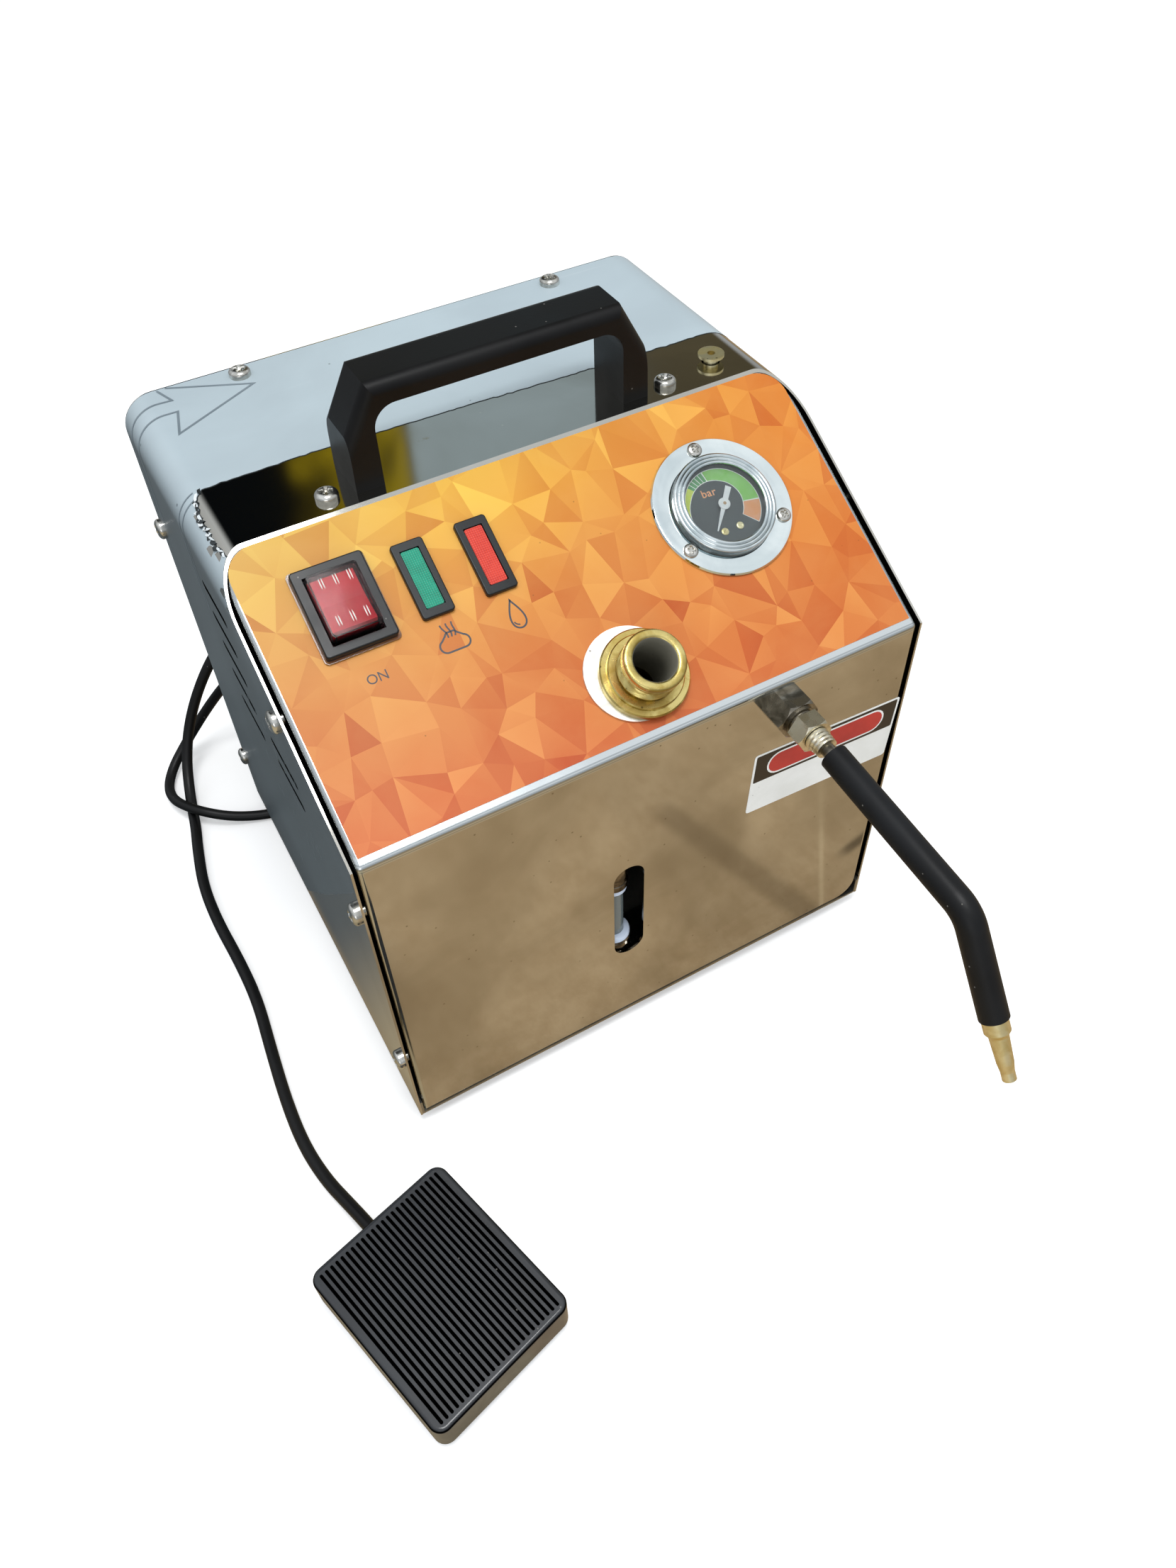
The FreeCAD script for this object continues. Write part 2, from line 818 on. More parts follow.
# ---------------------------------------------------------------- folded case


def arch(name, half, top, radius):
    """The space under a folded cover: flat sides and top with rounded upper edges."""
    body = new_body(name)
    corners = [(-half, -size.case_height), (half, -size.case_height), (half, top), (-half, top)]
    pad(body, draw_outline(body, name + "_section", "XZ_Plane", corners), size.case_depth * 2,
        midplane=True)
    top_level = float(top)

    def is_upper_long_edge(edge):
        return is_along(edge, Vector(0, 1, 0)) and edge.CenterOfMass.z > top_level - 0.01

    round_edges(body, radius, is_upper_long_edge)
    return body


def side_screw_points():
    """Depth and height of the screws in each side wall."""
    slope_screw_y = front_y + size.slope_screw_run
    front_screw_y = front_y + size.front_screw_inset
    return [
        (rear_screw_y, size.case_height - size.rear_screw_drop),
        (rear_screw_y, size.rear_screw_low),
        (slope_screw_y, slope_line(slope_screw_y, 0.0) - size.slope_screw_drop),
        (front_screw_y, size.front_height - size.side_screw_drop),
        (front_screw_y, size.side_screw_low),
    ]


def screw_hole_tools(name):
    """Pins through both side walls and the top at every case screw."""
    tools = []
    for index, (y, z) in enumerate(side_screw_points()):
        pin = cylinder(f"{name}_side_{index}", size.screw_hole, size.case_width * 1.2)
        tools.append(put(pin, -size.case_width * 0.6, y, z, FACES_RIGHT))
    for index, x in enumerate((-size.top_screw_half_spacing, size.top_screw_half_spacing)):
        for row, y in enumerate((top_screw_y, rear_screw_y)):
            pin = cylinder(f"{name}_top_{index}{row}", size.screw_hole, size.tool_length)
            tools.append(put(pin, x, y, size.case_height - size.tool_sink))
    return tools


def make_case_cover():
    """The inverted U of thin sheet: sides and top, cut back along the slope, with air slots."""
    body = new_body("case_cover")
    outside = [(-half_width, 0.0), (half_width, 0.0), (half_width, size.case_height),
               (-half_width, size.case_height)]
    pad(body, draw_outline(body, "cover_section", "XZ_Plane", outside), size.case_depth, midplane=True)
    upper = float(size.case_height) - 0.01
    round_edges(body, size.bend_radius,
                lambda edge: is_along(edge, Vector(0, 1, 0)) and edge.CenterOfMass.z > upper)
    slope_waste = [(front_y - 30.0, size.front_height - 30.0 * slope_tan),
                   (top_edge_y + 40.0, size.case_height + 40.0 * slope_tan),
                   (front_y - 30.0, size.case_height + 40.0 * slope_tan)]
    pocket(body, draw_outline(body, "slope_waste", "YZ_Plane", slope_waste))
    rear_rows = [(size.rear_slot_centre, size.rear_slot_bottom + size.rear_slot_pitch * row)
                 for row in range(5)]
    front_rows = [(size.front_slot_centre, size.front_slot_bottom + size.front_slot_pitch * row)
                  for row in range(2)]
    pocket(body, draw_slots(body, "rear_air_slots", "YZ_Plane", rear_rows,
                            size.rear_slot_length, size.air_slot_width))
    pocket(body, draw_slots(body, "front_air_slots", "YZ_Plane", front_rows,
                            size.front_slot_length, size.air_slot_width))
    inside = arch("cover_inside", cover_inside, cover_underside, size.bend_radius - size.cover_sheet)
    tools = [inside] + screw_hole_tools("cover_hole")
    for side, x in (("left", -1), ("right", 1)):
        hole = cylinder(f"cover_handle_hole_{side}", size.screw_hole, size.tool_length)
        tools.append(put(hole, handle_screw_x * x, handle_y, size.case_height - size.tool_sink))
    tools.append(relief_stem_hole("cover_relief_hole"))
    keep("case_cover", cut("case_cover", body, *tools))


def relief_stem_hole(name):
    """The tool for the relief valve's stem through the sheets of the top."""
    hole = cylinder(name, size.relief_stem + size.relief_hole_clearance, size.tool_length)
    return put(hole, relief_x, relief_y, size.case_height - size.tool_sink)


def slope_line(y, inset):
    """Height of the line that lies a distance inside the sloped face, at a depth y."""
    return size.front_height + (y - front_y) * slope_tan - inset / slope_cos


def panel_cutters(name, reach=8.0):
    """Everything that passes through the sloped and the upright front sheet."""
    low = -reach
    tall = 2 * reach
    tools = []
    gap = size.cutout_clearance
    rocker = block(name + "_rocker", size.rocker_body_width + gap, size.rocker_body_length + gap, tall)
    tools.append(put_on_slope(rocker, size.rocker_x, size.rocker_v, low))
    for side, x in (("green", size.green_lamp_x), ("red", size.red_lamp_x)):
        lamp = block(f"{name}_{side}", size.lamp_body_width + gap, size.lamp_body_length + gap, tall)
        tools.append(put_on_slope(lamp, x, size.lamp_v, low))
    cup = cylinder(name + "_gauge", size.gauge_cup + gap, tall)
    tools.append(put_on_slope(cup, size.gauge_x, size.gauge_v, low))
    for index, point in enumerate(gauge_screw_points()):
        pin = cylinder(f"{name}_gauge_screw_{index}", size.gauge_screw_shank + 0.1, tall)
        tools.append(put_on_slope(pin, *point, low))
    neck = cylinder(name + "_filler", size.filler_neck + gap, tall)
    tools.append(put_on_slope(neck, size.filler_x, size.filler_v, low))
    return tools


def gauge_screw_points():
    """Places of the gauge's three screws on the slope."""
    points = []
    for degrees in (90, 210, 330):
        angle = math.radians(degrees)
        points.append((size.gauge_x + size.gauge_screw_circle * math.cos(angle),
                       size.gauge_v + size.gauge_screw_circle * math.sin(angle)))
    return points


def make_front_panel():
    """One folded sheet: upright front, sloped face, and flanges that turn back inside the cover."""
    depth = size.flange_depth
    sheet_in = size.panel_sheet
    back_edge = top_edge_y + size.top_flange_depth
    blank = prism("panel_blank", "YZ_Plane", [
        (front_y, size.panel_bottom), (front_y, size.front_height), (top_edge_y, size.case_height),
        (back_edge, size.case_height), (back_edge, slope_line(back_edge, depth)),
        (front_y + depth, slope_line(front_y + depth, depth)), (front_y + depth, size.panel_bottom)],
        size.case_width * 1.5)
    outer_half = cover_inside - size.panel_gap
    outer = arch("panel_outer", outer_half, cover_underside,
                 size.bend_radius - size.cover_sheet - size.panel_gap)
    trimmed = common("panel_trimmed", blank, outer)
    corner = prism("panel_corner_waste", "XZ_Plane", [
        (outer_half - size.panel_corner, 0.0), (outer_half + 5.0, 0.0),
        (outer_half + 5.0, size.panel_bottom + size.panel_corner),
        (outer_half - size.panel_corner, size.panel_bottom + size.panel_corner)], size.case_depth * 2)
    corner_round = cylinder("panel_corner_round", size.panel_corner, size.case_depth * 2)
    put(corner_round, outer_half - size.panel_corner, size.case_depth,
        size.panel_bottom + size.panel_corner, FACES_FRONT)
    cornered = cut("panel_cornered", trimmed, cut("panel_corner_cut", corner, corner_round))
    doc.recompute()
    rounded = doc.addObject("Part::Fillet", "panel_rounded")
    rounded.Base = cornered
    front_edges = []
    for number, edge in enumerate(cornered.Shape.Edges, start=1):
        if lies_on_panel_face(edge):
            front_edges.append((number, float(size.panel_bend), float(size.panel_bend)))
    rounded.Edges = front_edges
    inside_y = front_y + sheet_in
    beyond_y = back_edge + 20.0
    below = size.panel_bottom - 20.0
    hollow_blank = prism("panel_hollow_blank", "YZ_Plane", [
        (inside_y, below), (inside_y, slope_line(inside_y, sheet_in)),
        (beyond_y, slope_line(beyond_y, sheet_in)), (beyond_y, below)], size.case_width * 1.5)
    inner = arch("panel_inner", outer_half - sheet_in, cover_underside - sheet_in,
                 size.bend_radius - size.cover_sheet - size.panel_gap - sheet_in)
    hollow = common("panel_hollow", hollow_blank, inner)
    outlet = cylinder("outlet_hole", size.outlet_thread + size.outlet_hole_clearance, size.tool_length * 2)
    put(outlet, size.outlet_x, front_y + size.tool_length, size.outlet_z, FACES_FRONT)
    tools = [hollow, outlet, relief_stem_hole("panel_relief_hole")] + sight_slot_tools()
    tools += panel_cutters("panel") + screw_hole_tools("panel_hole")
    keep("front_panel", cut("front_panel", rounded, *tools))


def sight_slot_tools():
    """The round-ended window of the sight glass: a bar and a cylinder at each of its ends."""
    radius = size.sight_slot_width / 2
    left, right = size.sight_x - radius, size.sight_x + radius
    low, high = size.sight_slot_bottom + radius, size.sight_slot_top - radius
    tools = [prism("sight_slot", "XZ_Plane", [(left, low), (right, low), (right, high), (left, high)],
                   size.case_depth * 1.2)]
    for label, z in (("low", low), ("high", high)):
        end = cylinder(f"sight_slot_{label}", radius, size.tool_length * 2)
        tools.append(put(end, size.sight_x, front_y + size.tool_length, z, FACES_FRONT))
    return tools


def lies_on_panel_face(edge):
    """True for the outer edges of the upright and the sloped face, their shared bend included."""
    for parameter in (edge.FirstParameter, (edge.FirstParameter + edge.LastParameter) / 2,
                      edge.LastParameter):
        point = edge.valueAt(parameter)
        on_front = abs(point.y - float(front_y)) < 0.01 and point.z > float(size.panel_bottom) + 0.5
        on_slope = abs(point.z - float(slope_line(point.y, 0.0))) < 0.01
        if not (on_front or on_slope or abs(point.y - float(front_y)) < 0.01):
            return False
    middle = edge.valueAt((edge.FirstParameter + edge.LastParameter) / 2)
    return middle.z > float(size.panel_bottom) + 0.2


def make_panel_overlay():
    """The printed plastic sheet on the sloped face, with the same cut-outs as the steel."""
    width = size.case_width - size.overlay_left - size.overlay_right
    length = size.overlay_top - size.overlay_bottom
    body = new_body("overlay")
    corners = [(-width / 2, -length / 2), (width / 2, -length / 2), (width / 2, length / 2),
               (-width / 2, length / 2)]
    pad(body, draw_outline(body, "overlay_plan", "XY_Plane", corners), size.overlay_sheet)

    def is_upper_corner(edge):
        return is_along(edge, Vector(0, 0, 1)) and edge.CenterOfMass.y > 0

    round_edges(body, size.overlay_corner, is_upper_corner)
    middle_x = (size.overlay_left - size.overlay_right) / 2
    put_on_slope(body, middle_x, (size.overlay_bottom + size.overlay_top) / 2)
    keep("panel_overlay", cut("panel_overlay", body, *panel_cutters("overlay")))


def make_base_plate():
    """A shallow tray with turned-up sides and a pressed-down middle field, which closes the case below."""
    body = new_body("base_tray")
    inner = cover_inside - size.base_sheet
    rim = size.base_press
    section = [(-cover_inside, rim), (cover_inside, rim), (cover_inside, size.base_flange),
               (inner, size.base_flange), (inner, base_level), (-inner, base_level),
               (-inner, size.base_flange), (-cover_inside, size.base_flange)]
    pad(body, draw_outline(body, "base_section", "XZ_Plane", section), size.case_depth, midplane=True)
    lip_low = rim + size.base_sheet / 2
    rear_lip = [(back_y - size.base_sheet, lip_low), (back_y, lip_low),
                (back_y, size.base_flange), (back_y - size.base_sheet, size.base_flange)]
    pad(body, draw_outline(body, "base_rear_lip", "YZ_Plane", rear_lip), cover_inside * 2, midplane=True)
    holes = []
    for index, (x, y) in enumerate(foot_points()):
        hole = cylinder(f"base_foot_hole_{index}", size.foot_screw + 0.1, 6.0)
        holes.append(put(hole, x, y, -2.0))
    width, length, corner = size.base_field_width, size.base_field_length, size.base_field_corner
    field = rounded_block("base_field", width, length, base_level, corner)
    wall = size.base_sheet
    recess = rounded_block("base_field_recess", width - wall * 2, length - wall * 2, base_level,
                           corner - wall)
    put(recess, 0.0, 0.0, size.base_sheet)
    keep("base_plate", cut("base_plate", fuse("base_blank", body, field), recess, *holes))


def foot_points():
    """The places of the four feet under the tray."""
    x = half_width - size.foot_side_inset
    rows = (front_y + size.foot_front_inset, back_y - size.foot_rear_inset)
    return [(side, y) for side in (-x, x) for y in rows]


def make_feet():
    """Four turned rubber feet, each with a machine screw up through it and a nut on the tray."""
    seat = -size.foot_height + size.foot_recess_depth
    hole = size.foot_screw + 0.1
    foot = turned("foot", [(hole, seat), (size.foot_recess, seat), (size.foot_recess, -size.foot_height),
                           (size.foot_bottom, -size.foot_height), (size.foot_top, size.base_press),
                           (hole, size.base_press)])
    head = size.foot_recess - 1.0
    nut = size.foot_screw * 1.75
    top = base_level
    screw = turned("foot_screw", [
        (0.0, seat - 2.2), (head - 0.8, seat - 2.2), (head, seat - 1.4), (head, seat),
        (size.foot_screw, seat), (size.foot_screw, top), (nut, top), (nut, top + 3.0), (0.0, top + 3.0)])
    places = [place_of((x, y, 0.0)) for x, y in foot_points()]
    pedal_pad = cylinder("pedal_pad", size.pedal_pad_radius, size.pedal_pad)
    reach_x = size.pedal_width / 2 - size.pedal_pad_inset
    reach_y = size.pedal_length / 2 - size.pedal_pad_inset
    pad_places = [pedal_place(reach_x * x, reach_y * y, 0.0) for x in (-1, 1) for y in (-1, 1)]
    keep_group("rubber_feet", copied(foot, places) + copied(pedal_pad, pad_places))
    keep_group("foot_screws", copied(screw, places))


def make_back_panel():
    """The rear wall: a folded sheet with flanges turned forward under the cover."""
    sheet_in = size.panel_sheet
    bottom = size.base_flange
    depth = size.flange_depth
    blank = prism("back_blank", "YZ_Plane", [
        (back_y - depth, bottom), (back_y, bottom), (back_y, size.case_height),
        (back_y - depth, size.case_height)], size.case_width * 1.5)
    outer = arch("back_outer", cover_inside, cover_underside, size.bend_radius - size.cover_sheet)
    hollow_blank = prism("back_hollow_blank", "YZ_Plane", [
        (back_y - depth * 2, -bottom), (back_y - sheet_in, -bottom),
        (back_y - sheet_in, size.case_height), (back_y - depth * 2, size.case_height)],
        size.case_width * 1.5)
    inner = arch("back_inner", cover_inside - sheet_in, cover_underside - sheet_in,
                 size.bend_radius - size.cover_sheet - sheet_in)
    tools = [common("back_hollow", hollow_blank, inner)] + screw_hole_tools("back_hole")
    for label, z in (("pedal", size.pedal_gland_z), ("mains", size.mains_gland_z)):
        hole = cylinder(f"back_gland_{label}", size.gland_neck, 12.0)
        tools.append(put(hole, size.gland_x, back_y - 6.0, z, FACES_BACK))
    keep("back_panel", cut("back_panel", common("back_trimmed", blank, outer), *tools))


def make_case_screws():
    """Pan-head screws in the top and in both sides."""
    shank_end = -(size.cover_sheet + size.screw_length)
    head, rise = size.screw_head, size.screw_head_rise
    screw = turned("case_screw", [
        (0.0, shank_end), (size.screw_shank, shank_end), (size.screw_shank, 0.0), (head, 0.0),
        (head, rise * 0.4), (head * 0.86, rise * 0.78), (head * 0.55, rise), (0.0, rise)])
    places = []
    for x in (-size.top_screw_half_spacing, size.top_screw_half_spacing):
        for y in (top_screw_y, rear_screw_y):
            places.append(place_of((x, y, size.case_height)))
    for y, z in side_screw_points():
        places.append(place_of((-half_width, y, z), FACES_LEFT))
        places.append(place_of((half_width, y, z), FACES_RIGHT))
    keep_group("case_screws", copied(screw, places))


def make_handle():
    """A moulded bail: two flared legs and a bar, soft along the top, screwed from inside."""
    body = new_body("carry_handle")
    bottom = size.case_height
    kink = bottom + size.handle_kink_rise
    top = bottom + size.handle_rise
    outline = [(-size.handle_half, bottom), (size.handle_half, bottom), (size.handle_kink_half, kink),
               (size.handle_top_half, top), (-size.handle_top_half, top), (-size.handle_kink_half, kink)]
    pad(body, draw_outline(body, "handle_outline", "XZ_Plane", outline), size.handle_depth, midplane=True)
    ceiling = top - size.handle_bar
    gap = [(-handle_gap_half, bottom - 5.0), (handle_gap_half, bottom - 5.0),
           (handle_gap_half, ceiling), (-handle_gap_half, ceiling)]
    pocket(body, draw_outline(body, "handle_gap", "XZ_Plane", gap))
    ceiling_level = float(ceiling)
    gap_side = float(handle_gap_half)

    def is_gap_corner(edge):
        middle = edge.CenterOfMass
        in_corner = abs(middle.z - ceiling_level) < 0.01 and abs(abs(middle.x) - gap_side) < 0.01
        return in_corner and is_along(edge, Vector(0, 1, 0))

    round_edges(body, size.handle_gap_round, is_gap_corner)
    kink_level = float(kink)

    def is_upper_outer_edge(edge):
        middle = edge.CenterOfMass
        outside = abs(middle.x) > gap_side or abs(middle.z - float(top)) < 0.01
        on_face = abs(abs(middle.y) - float(size.handle_depth) / 2) < 0.01
        return outside and on_face and middle.z > kink_level + 1.0

    round_edges(body, size.handle_edge_round, is_upper_outer_edge)
    put(body, 0.0, handle_y, 0.0)
    bores = []
    for side, x in (("left", -handle_screw_x), ("right", handle_screw_x)):
        bore = cylinder(f"handle_bore_{side}", size.screw_shank, size.handle_screw_depth)
        bores.append(put(bore, x, handle_y, bottom))
    keep("carry_handle", cut("carry_handle", body, *bores))
    screw = turned("handle_screw", [
        (0.0, cover_underside - 3.2), (size.screw_head - 0.8, cover_underside - 3.2),
        (size.screw_head, cover_underside - 2.2), (size.screw_head, cover_underside),
        (size.screw_shank, cover_underside), (size.screw_shank, bottom + size.handle_screw_depth),
        (0.0, bottom + size.handle_screw_depth)])
    places = [place_of((x, handle_y, 0.0)) for x in (-handle_screw_x, handle_screw_x)]
    keep_group("handle_screws", copied(screw, places))


# ---------------------------------------------------------------- controls on the slope


def make_rocker():
    """The mains switch: clear gasket, black housing, red rocker and clear boot."""
    base = size.overlay_sheet
    frame_base = base + size.rocker_gasket_sheet
    frame_top = frame_base + size.rocker_frame_rise
    gap = size.cutout_clearance
    plate = rounded_block("rocker_gasket_plate", size.rocker_gasket_width, size.rocker_gasket_length,
                          size.rocker_gasket_sheet, size.rocker_gasket_corner)
    hole = block("rocker_gasket_hole", size.rocker_body_width + gap, size.rocker_body_length + gap, 8.0)
    put(hole, 0.0, 0.0, -2.0)
    gasket = cut("rocker_gasket", plate, hole)
    keep("rocker_gasket", put_on_slope(gasket, size.rocker_x, size.rocker_v, base))

    frame = rounded_block("rocker_frame", size.rocker_frame_width, size.rocker_frame_length,
                          size.rocker_frame_rise, size.rocker_frame_corner)
    round_rim(frame, size.rocker_frame_edge, size.rocker_frame_rise)
    put(frame, 0.0, 0.0, frame_base)
    case = block("rocker_case", size.rocker_body_width, size.rocker_body_length,
                 size.rocker_body_depth + frame_base)
    put(case, 0.0, 0.0, -size.rocker_body_depth)
    ledge = frame_top - size.rocker_ledge_drop
    window = block("rocker_window", size.rocker_window_width, size.rocker_window_length, 12.0)
    put(window, 0.0, 0.0, ledge)
    cavity_width = size.rocker_window_width - size.rocker_ledge * 2
    cavity_length = size.rocker_window_length - size.rocker_ledge * 2
    cavity = block("rocker_cavity", cavity_width, cavity_length, size.rocker_cavity_depth + 12.0)
    put(cavity, 0.0, 0.0, -size.rocker_cavity_depth)
    pin_socket = cylinder("rocker_pin_socket", size.button_pin + size.running_clearance, cavity_width + 3.0)
    put(pin_socket, -(cavity_width + 3.0) / 2, 0.0, -size.button_pivot_drop, FACES_RIGHT)
    housing = cut("rocker_housing", fuse("rocker_shell", frame, case), window, cavity, pin_socket)
    keep("rocker_housing", put_on_slope(housing, size.rocker_x, size.rocker_v))

    half = size.button_half_length
    low_half = size.button_bottom_half
    button_outline = [(-low_half, -size.button_drop), (low_half, -size.button_drop), (half, 1.0),
                      (half, size.button_end_rise), (0.0, size.button_waist_rise),
                      (-half, size.button_end_rise), (-half, 1.0)]
    lever = prism("button_lever", "YZ_Plane", button_outline, size.button_width)
    pin = cylinder("button_pin", size.button_pin, cavity_width + 2.0)
    put(pin, -(cavity_width + 2.0) / 2, 0.0, -size.button_pivot_drop, FACES_RIGHT)
    button = fuse("rocker_button", lever, pin)
    tilt = Rotation(Vector(1, 0, 0), -float(size.button_tilt))
    pivot = vector_of(slope_point(size.rocker_x, size.rocker_v, -size.button_pivot_drop))
    own_pivot = Vector(0, 0, -float(size.button_pivot_drop))
    turn = ON_SLOPE * tilt
    button.Placement = Placement(pivot - turn.multVec(own_pivot), turn)
    keep("rocker_button", button)

    boot_base = ledge
    wide = size.rocker_window_width - size.boot_clearance * 2
    long = size.rocker_window_length - size.boot_clearance * 2
    rise = base + size.boot_rise - boot_base
    skin = boot_loft("boot_outer", wide, long, size.boot_top_width, size.boot_top_length, rise)
    wall = size.boot_wall
    hollow = boot_loft("boot_inner", wide - wall * 2, long - wall * 2, size.boot_top_width - wall * 2,
                       size.boot_top_length - wall * 2, rise - wall)
    boot = cut("rocker_boot", skin, hollow)
    keep("rocker_boot", put_on_slope(boot, size.rocker_x, size.rocker_v, boot_base))


def boot_loft(name, wide, long, top_wide, top_long, rise):
    """A tapered block between two rectangles, its corners cut off."""
    body = new_body(name)
    nick = size.boot_nick
    sketches = []
    for level, width, length in (("low", wide, long), ("high", top_wide, top_long)):
        x, y = width / 2, length / 2
        corners = [(-x + nick, -y), (x - nick, -y), (x, -y + nick), (x, y - nick),
                   (x - nick, y), (-x + nick, y), (-x, y - nick), (-x, -y + nick)]
        sketches.append(draw_outline(body, f"{name}_{level}", "XY_Plane", corners))
    sketches[1].setExpression("AttachmentOffset.Base.z", rise.text)
    loft = body.newObject("PartDesign::AdditiveLoft", name + "_loft")
    loft.Profile = sketches[0]
    loft.Sections = [sketches[1]]
    loft.Ruled = True
    return body


def make_lamps():
    """Two indicator lamps: black snap-in bezels and a coloured lens in each."""
    base = size.overlay_sheet
    frame = rounded_block("lamp_frame", size.lamp_width, size.lamp_length, size.lamp_rise, size.lamp_corner)
    round_rim(frame, size.lamp_edge, size.lamp_rise)
    put(frame, 0.0, 0.0, base)
    case = block("lamp_case", size.lamp_body_width, size.lamp_body_length, size.lamp_body_depth + base)
    put(case, 0.0, 0.0, -size.lamp_body_depth)
    seat = base + size.lamp_rise - size.lamp_lens_sheet - size.lamp_lens_recess
    gap = size.lamp_lens_gap * 2
    window = block("lamp_window", size.lamp_lens_width + gap, size.lamp_lens_length + gap, size.tool_sink)
    put(window, 0.0, 0.0, seat)
    bezel = cut("lamp_bezel", fuse("lamp_shell", frame, case), window)
    places = [place_of(slope_point(x, size.lamp_v), ON_SLOPE) for x in (size.green_lamp_x, size.red_lamp_x)]
    keep_group("lamp_bezels", copied(bezel, places))
    for colour, x in (("green", size.green_lamp_x), ("red", size.red_lamp_x)):
        lens = rounded_block(colour + "_lens", size.lamp_lens_width, size.lamp_lens_length,
                             size.lamp_lens_sheet, size.lamp_lens_corner)
        keep(colour + "_lamp_lens", put_on_slope(lens, x, size.lamp_v, seat))


def make_gauge():
    """The pressure gauge: cup behind the panel, flange, dial, needle, raised lens and screws."""
    base = size.overlay_sheet
    flange_top = base + size.gauge_flange_sheet
    cup = size.gauge_cup
    wall = size.gauge_cup_wall
    back = -size.gauge_cup_depth
    x, v = size.gauge_x, size.gauge_v
    dial_base = flange_top - size.gauge_dial_sheet
    stem_end = back - size.gauge_stem_length
    case = turned("gauge_case", [
        (0.0, stem_end), (size.gauge_stem, stem_end), (size.gauge_stem, back), (cup, back), (cup, base),
        (cup - wall, base), (cup - wall, back + wall), (0.0, back + wall)])
    keep("gauge_case", put_on_slope(case, x, v))
    opening = cup - wall
    rim = size.gauge_flange
    flange = turned("gauge_flange", [
        (opening, base), (rim, base), (rim, base + size.gauge_flange_sheet * 0.6),
        (rim - size.gauge_flange_edge, flange_top), (opening, flange_top)])
    holes = []
    for index, (sx, sv) in enumerate(gauge_screw_points()):
        hole = cylinder(f"gauge_flange_hole_{index}", size.gauge_screw_shank + 0.1, 10.0)
        holes.append(put(hole, sx - x, sv - v, -2.0))
    keep("gauge_flange", put_on_slope(cut("gauge_flange", flange, *holes), x, v))
    pin_hole = size.needle_pin + size.running_clearance
    dial = turned("gauge_dial", [(pin_hole, dial_base), (opening, dial_base), (opening, flange_top),
                                 (pin_hole, flange_top)])
    keep("gauge_dial", put_on_slope(dial, x, v))
    lens_top = flange_top + size.gauge_lens_rise
    lens_rim = size.gauge_lens
    thin = size.gauge_lens_wall
    outer_edge = size.gauge_lens_edge
    inner_edge = size.gauge_lens_edge + 0.4
    lens = turned("gauge_lens", [
        (lens_rim, flange_top), (lens_rim, lens_top - outer_edge), (lens_rim - outer_edge, lens_top),
        (0.0, lens_top), (0.0, lens_top - thin), (lens_rim - inner_edge, lens_top - thin),
        (lens_rim - thin, lens_top - inner_edge), (lens_rim - thin, flange_top)])
    keep("gauge_lens", put_on_slope(lens, x, v))
    shank, head, head_rise = size.gauge_screw_shank, size.gauge_screw_head, size.gauge_screw_rise
    screw_end = base - size.panel_sheet - size.gauge_screw_length
    screw = turned("gauge_screw", [
        (0.0, screw_end), (shank, screw_end), (shank, flange_top), (head, flange_top),
        (head, flange_top + head_rise * 0.5), (head * 0.6, flange_top + head_rise),
        (0.0, flange_top + head_rise)])
    places = [place_of(slope_point(*point), ON_SLOPE) for point in gauge_screw_points()]
    keep_group("gauge_screws", copied(screw, places))
    needle_low = flange_top + size.needle_lift
    needle_high = needle_low + size.needle_sheet
    tail, tail_half = size.needle_tail, size.needle_tail_width / 2
    length, tip_half = size.needle_length, size.needle_width / 4
    pointer_plan = [(-tail, -tail_half), (0.0, -size.needle_width), (length, -tip_half),
                    (length, tip_half), (0.0, size.needle_width), (-tail, tail_half)]
    pointer_body = new_body("needle_pointer")
    pad(pointer_body, draw_outline(pointer_body, "needle_plan", "XY_Plane", pointer_plan),
        size.needle_sheet)
    put(pointer_body, 0.0, 0.0, needle_low)
    pin_low, hub_low, hub_high = flange_top - 1.6, needle_low - 0.5, needle_high + 0.3
    hub = turned("needle_hub", [
        (0.0, pin_low), (size.needle_pin, pin_low), (size.needle_pin, hub_low),
        (size.needle_hub, hub_low), (size.needle_hub, hub_high), (0.0, hub_high)])
    needle = fuse("gauge_needle", pointer_body, hub)
    keep("gauge_needle", put_on_slope(needle, x, v, 0.0, float(size.needle_angle)))
    start = slope_point(x, v, stem_end)
    second = slope_point(x, v, stem_end - size.capillary_run)
    side_x = size.gauge_x - size.capillary_side
    line = [start, second, (side_x, 0.0, size.boiler_top + size.capillary_rise),
            (side_x - size.capillary_step, size.capillary_end_y, size.boiler_top - size.capillary_foot)]
    bend = float(size.capillary_bend)
    capillary = tube_along(route_wire(line, [bend, bend]), size.capillary)
    keep("gauge_capillary", feature_of("gauge_capillary", capillary))
    return [cylinder_between("capillary_hole", line[2], line[3], size.capillary + size.running_clearance)]


def cylinder_between(name, start, end, radius):
    """A round tool along the last run of a pipe, carried well past both of its ends."""
    first = vector_of(start)
    last = vector_of(end)
    heading = (last - first).normalize()
    shape = Part.makeCylinder(float(radius), (last - first).Length + 12.0, first, heading)
    return feature_of(name, shape)


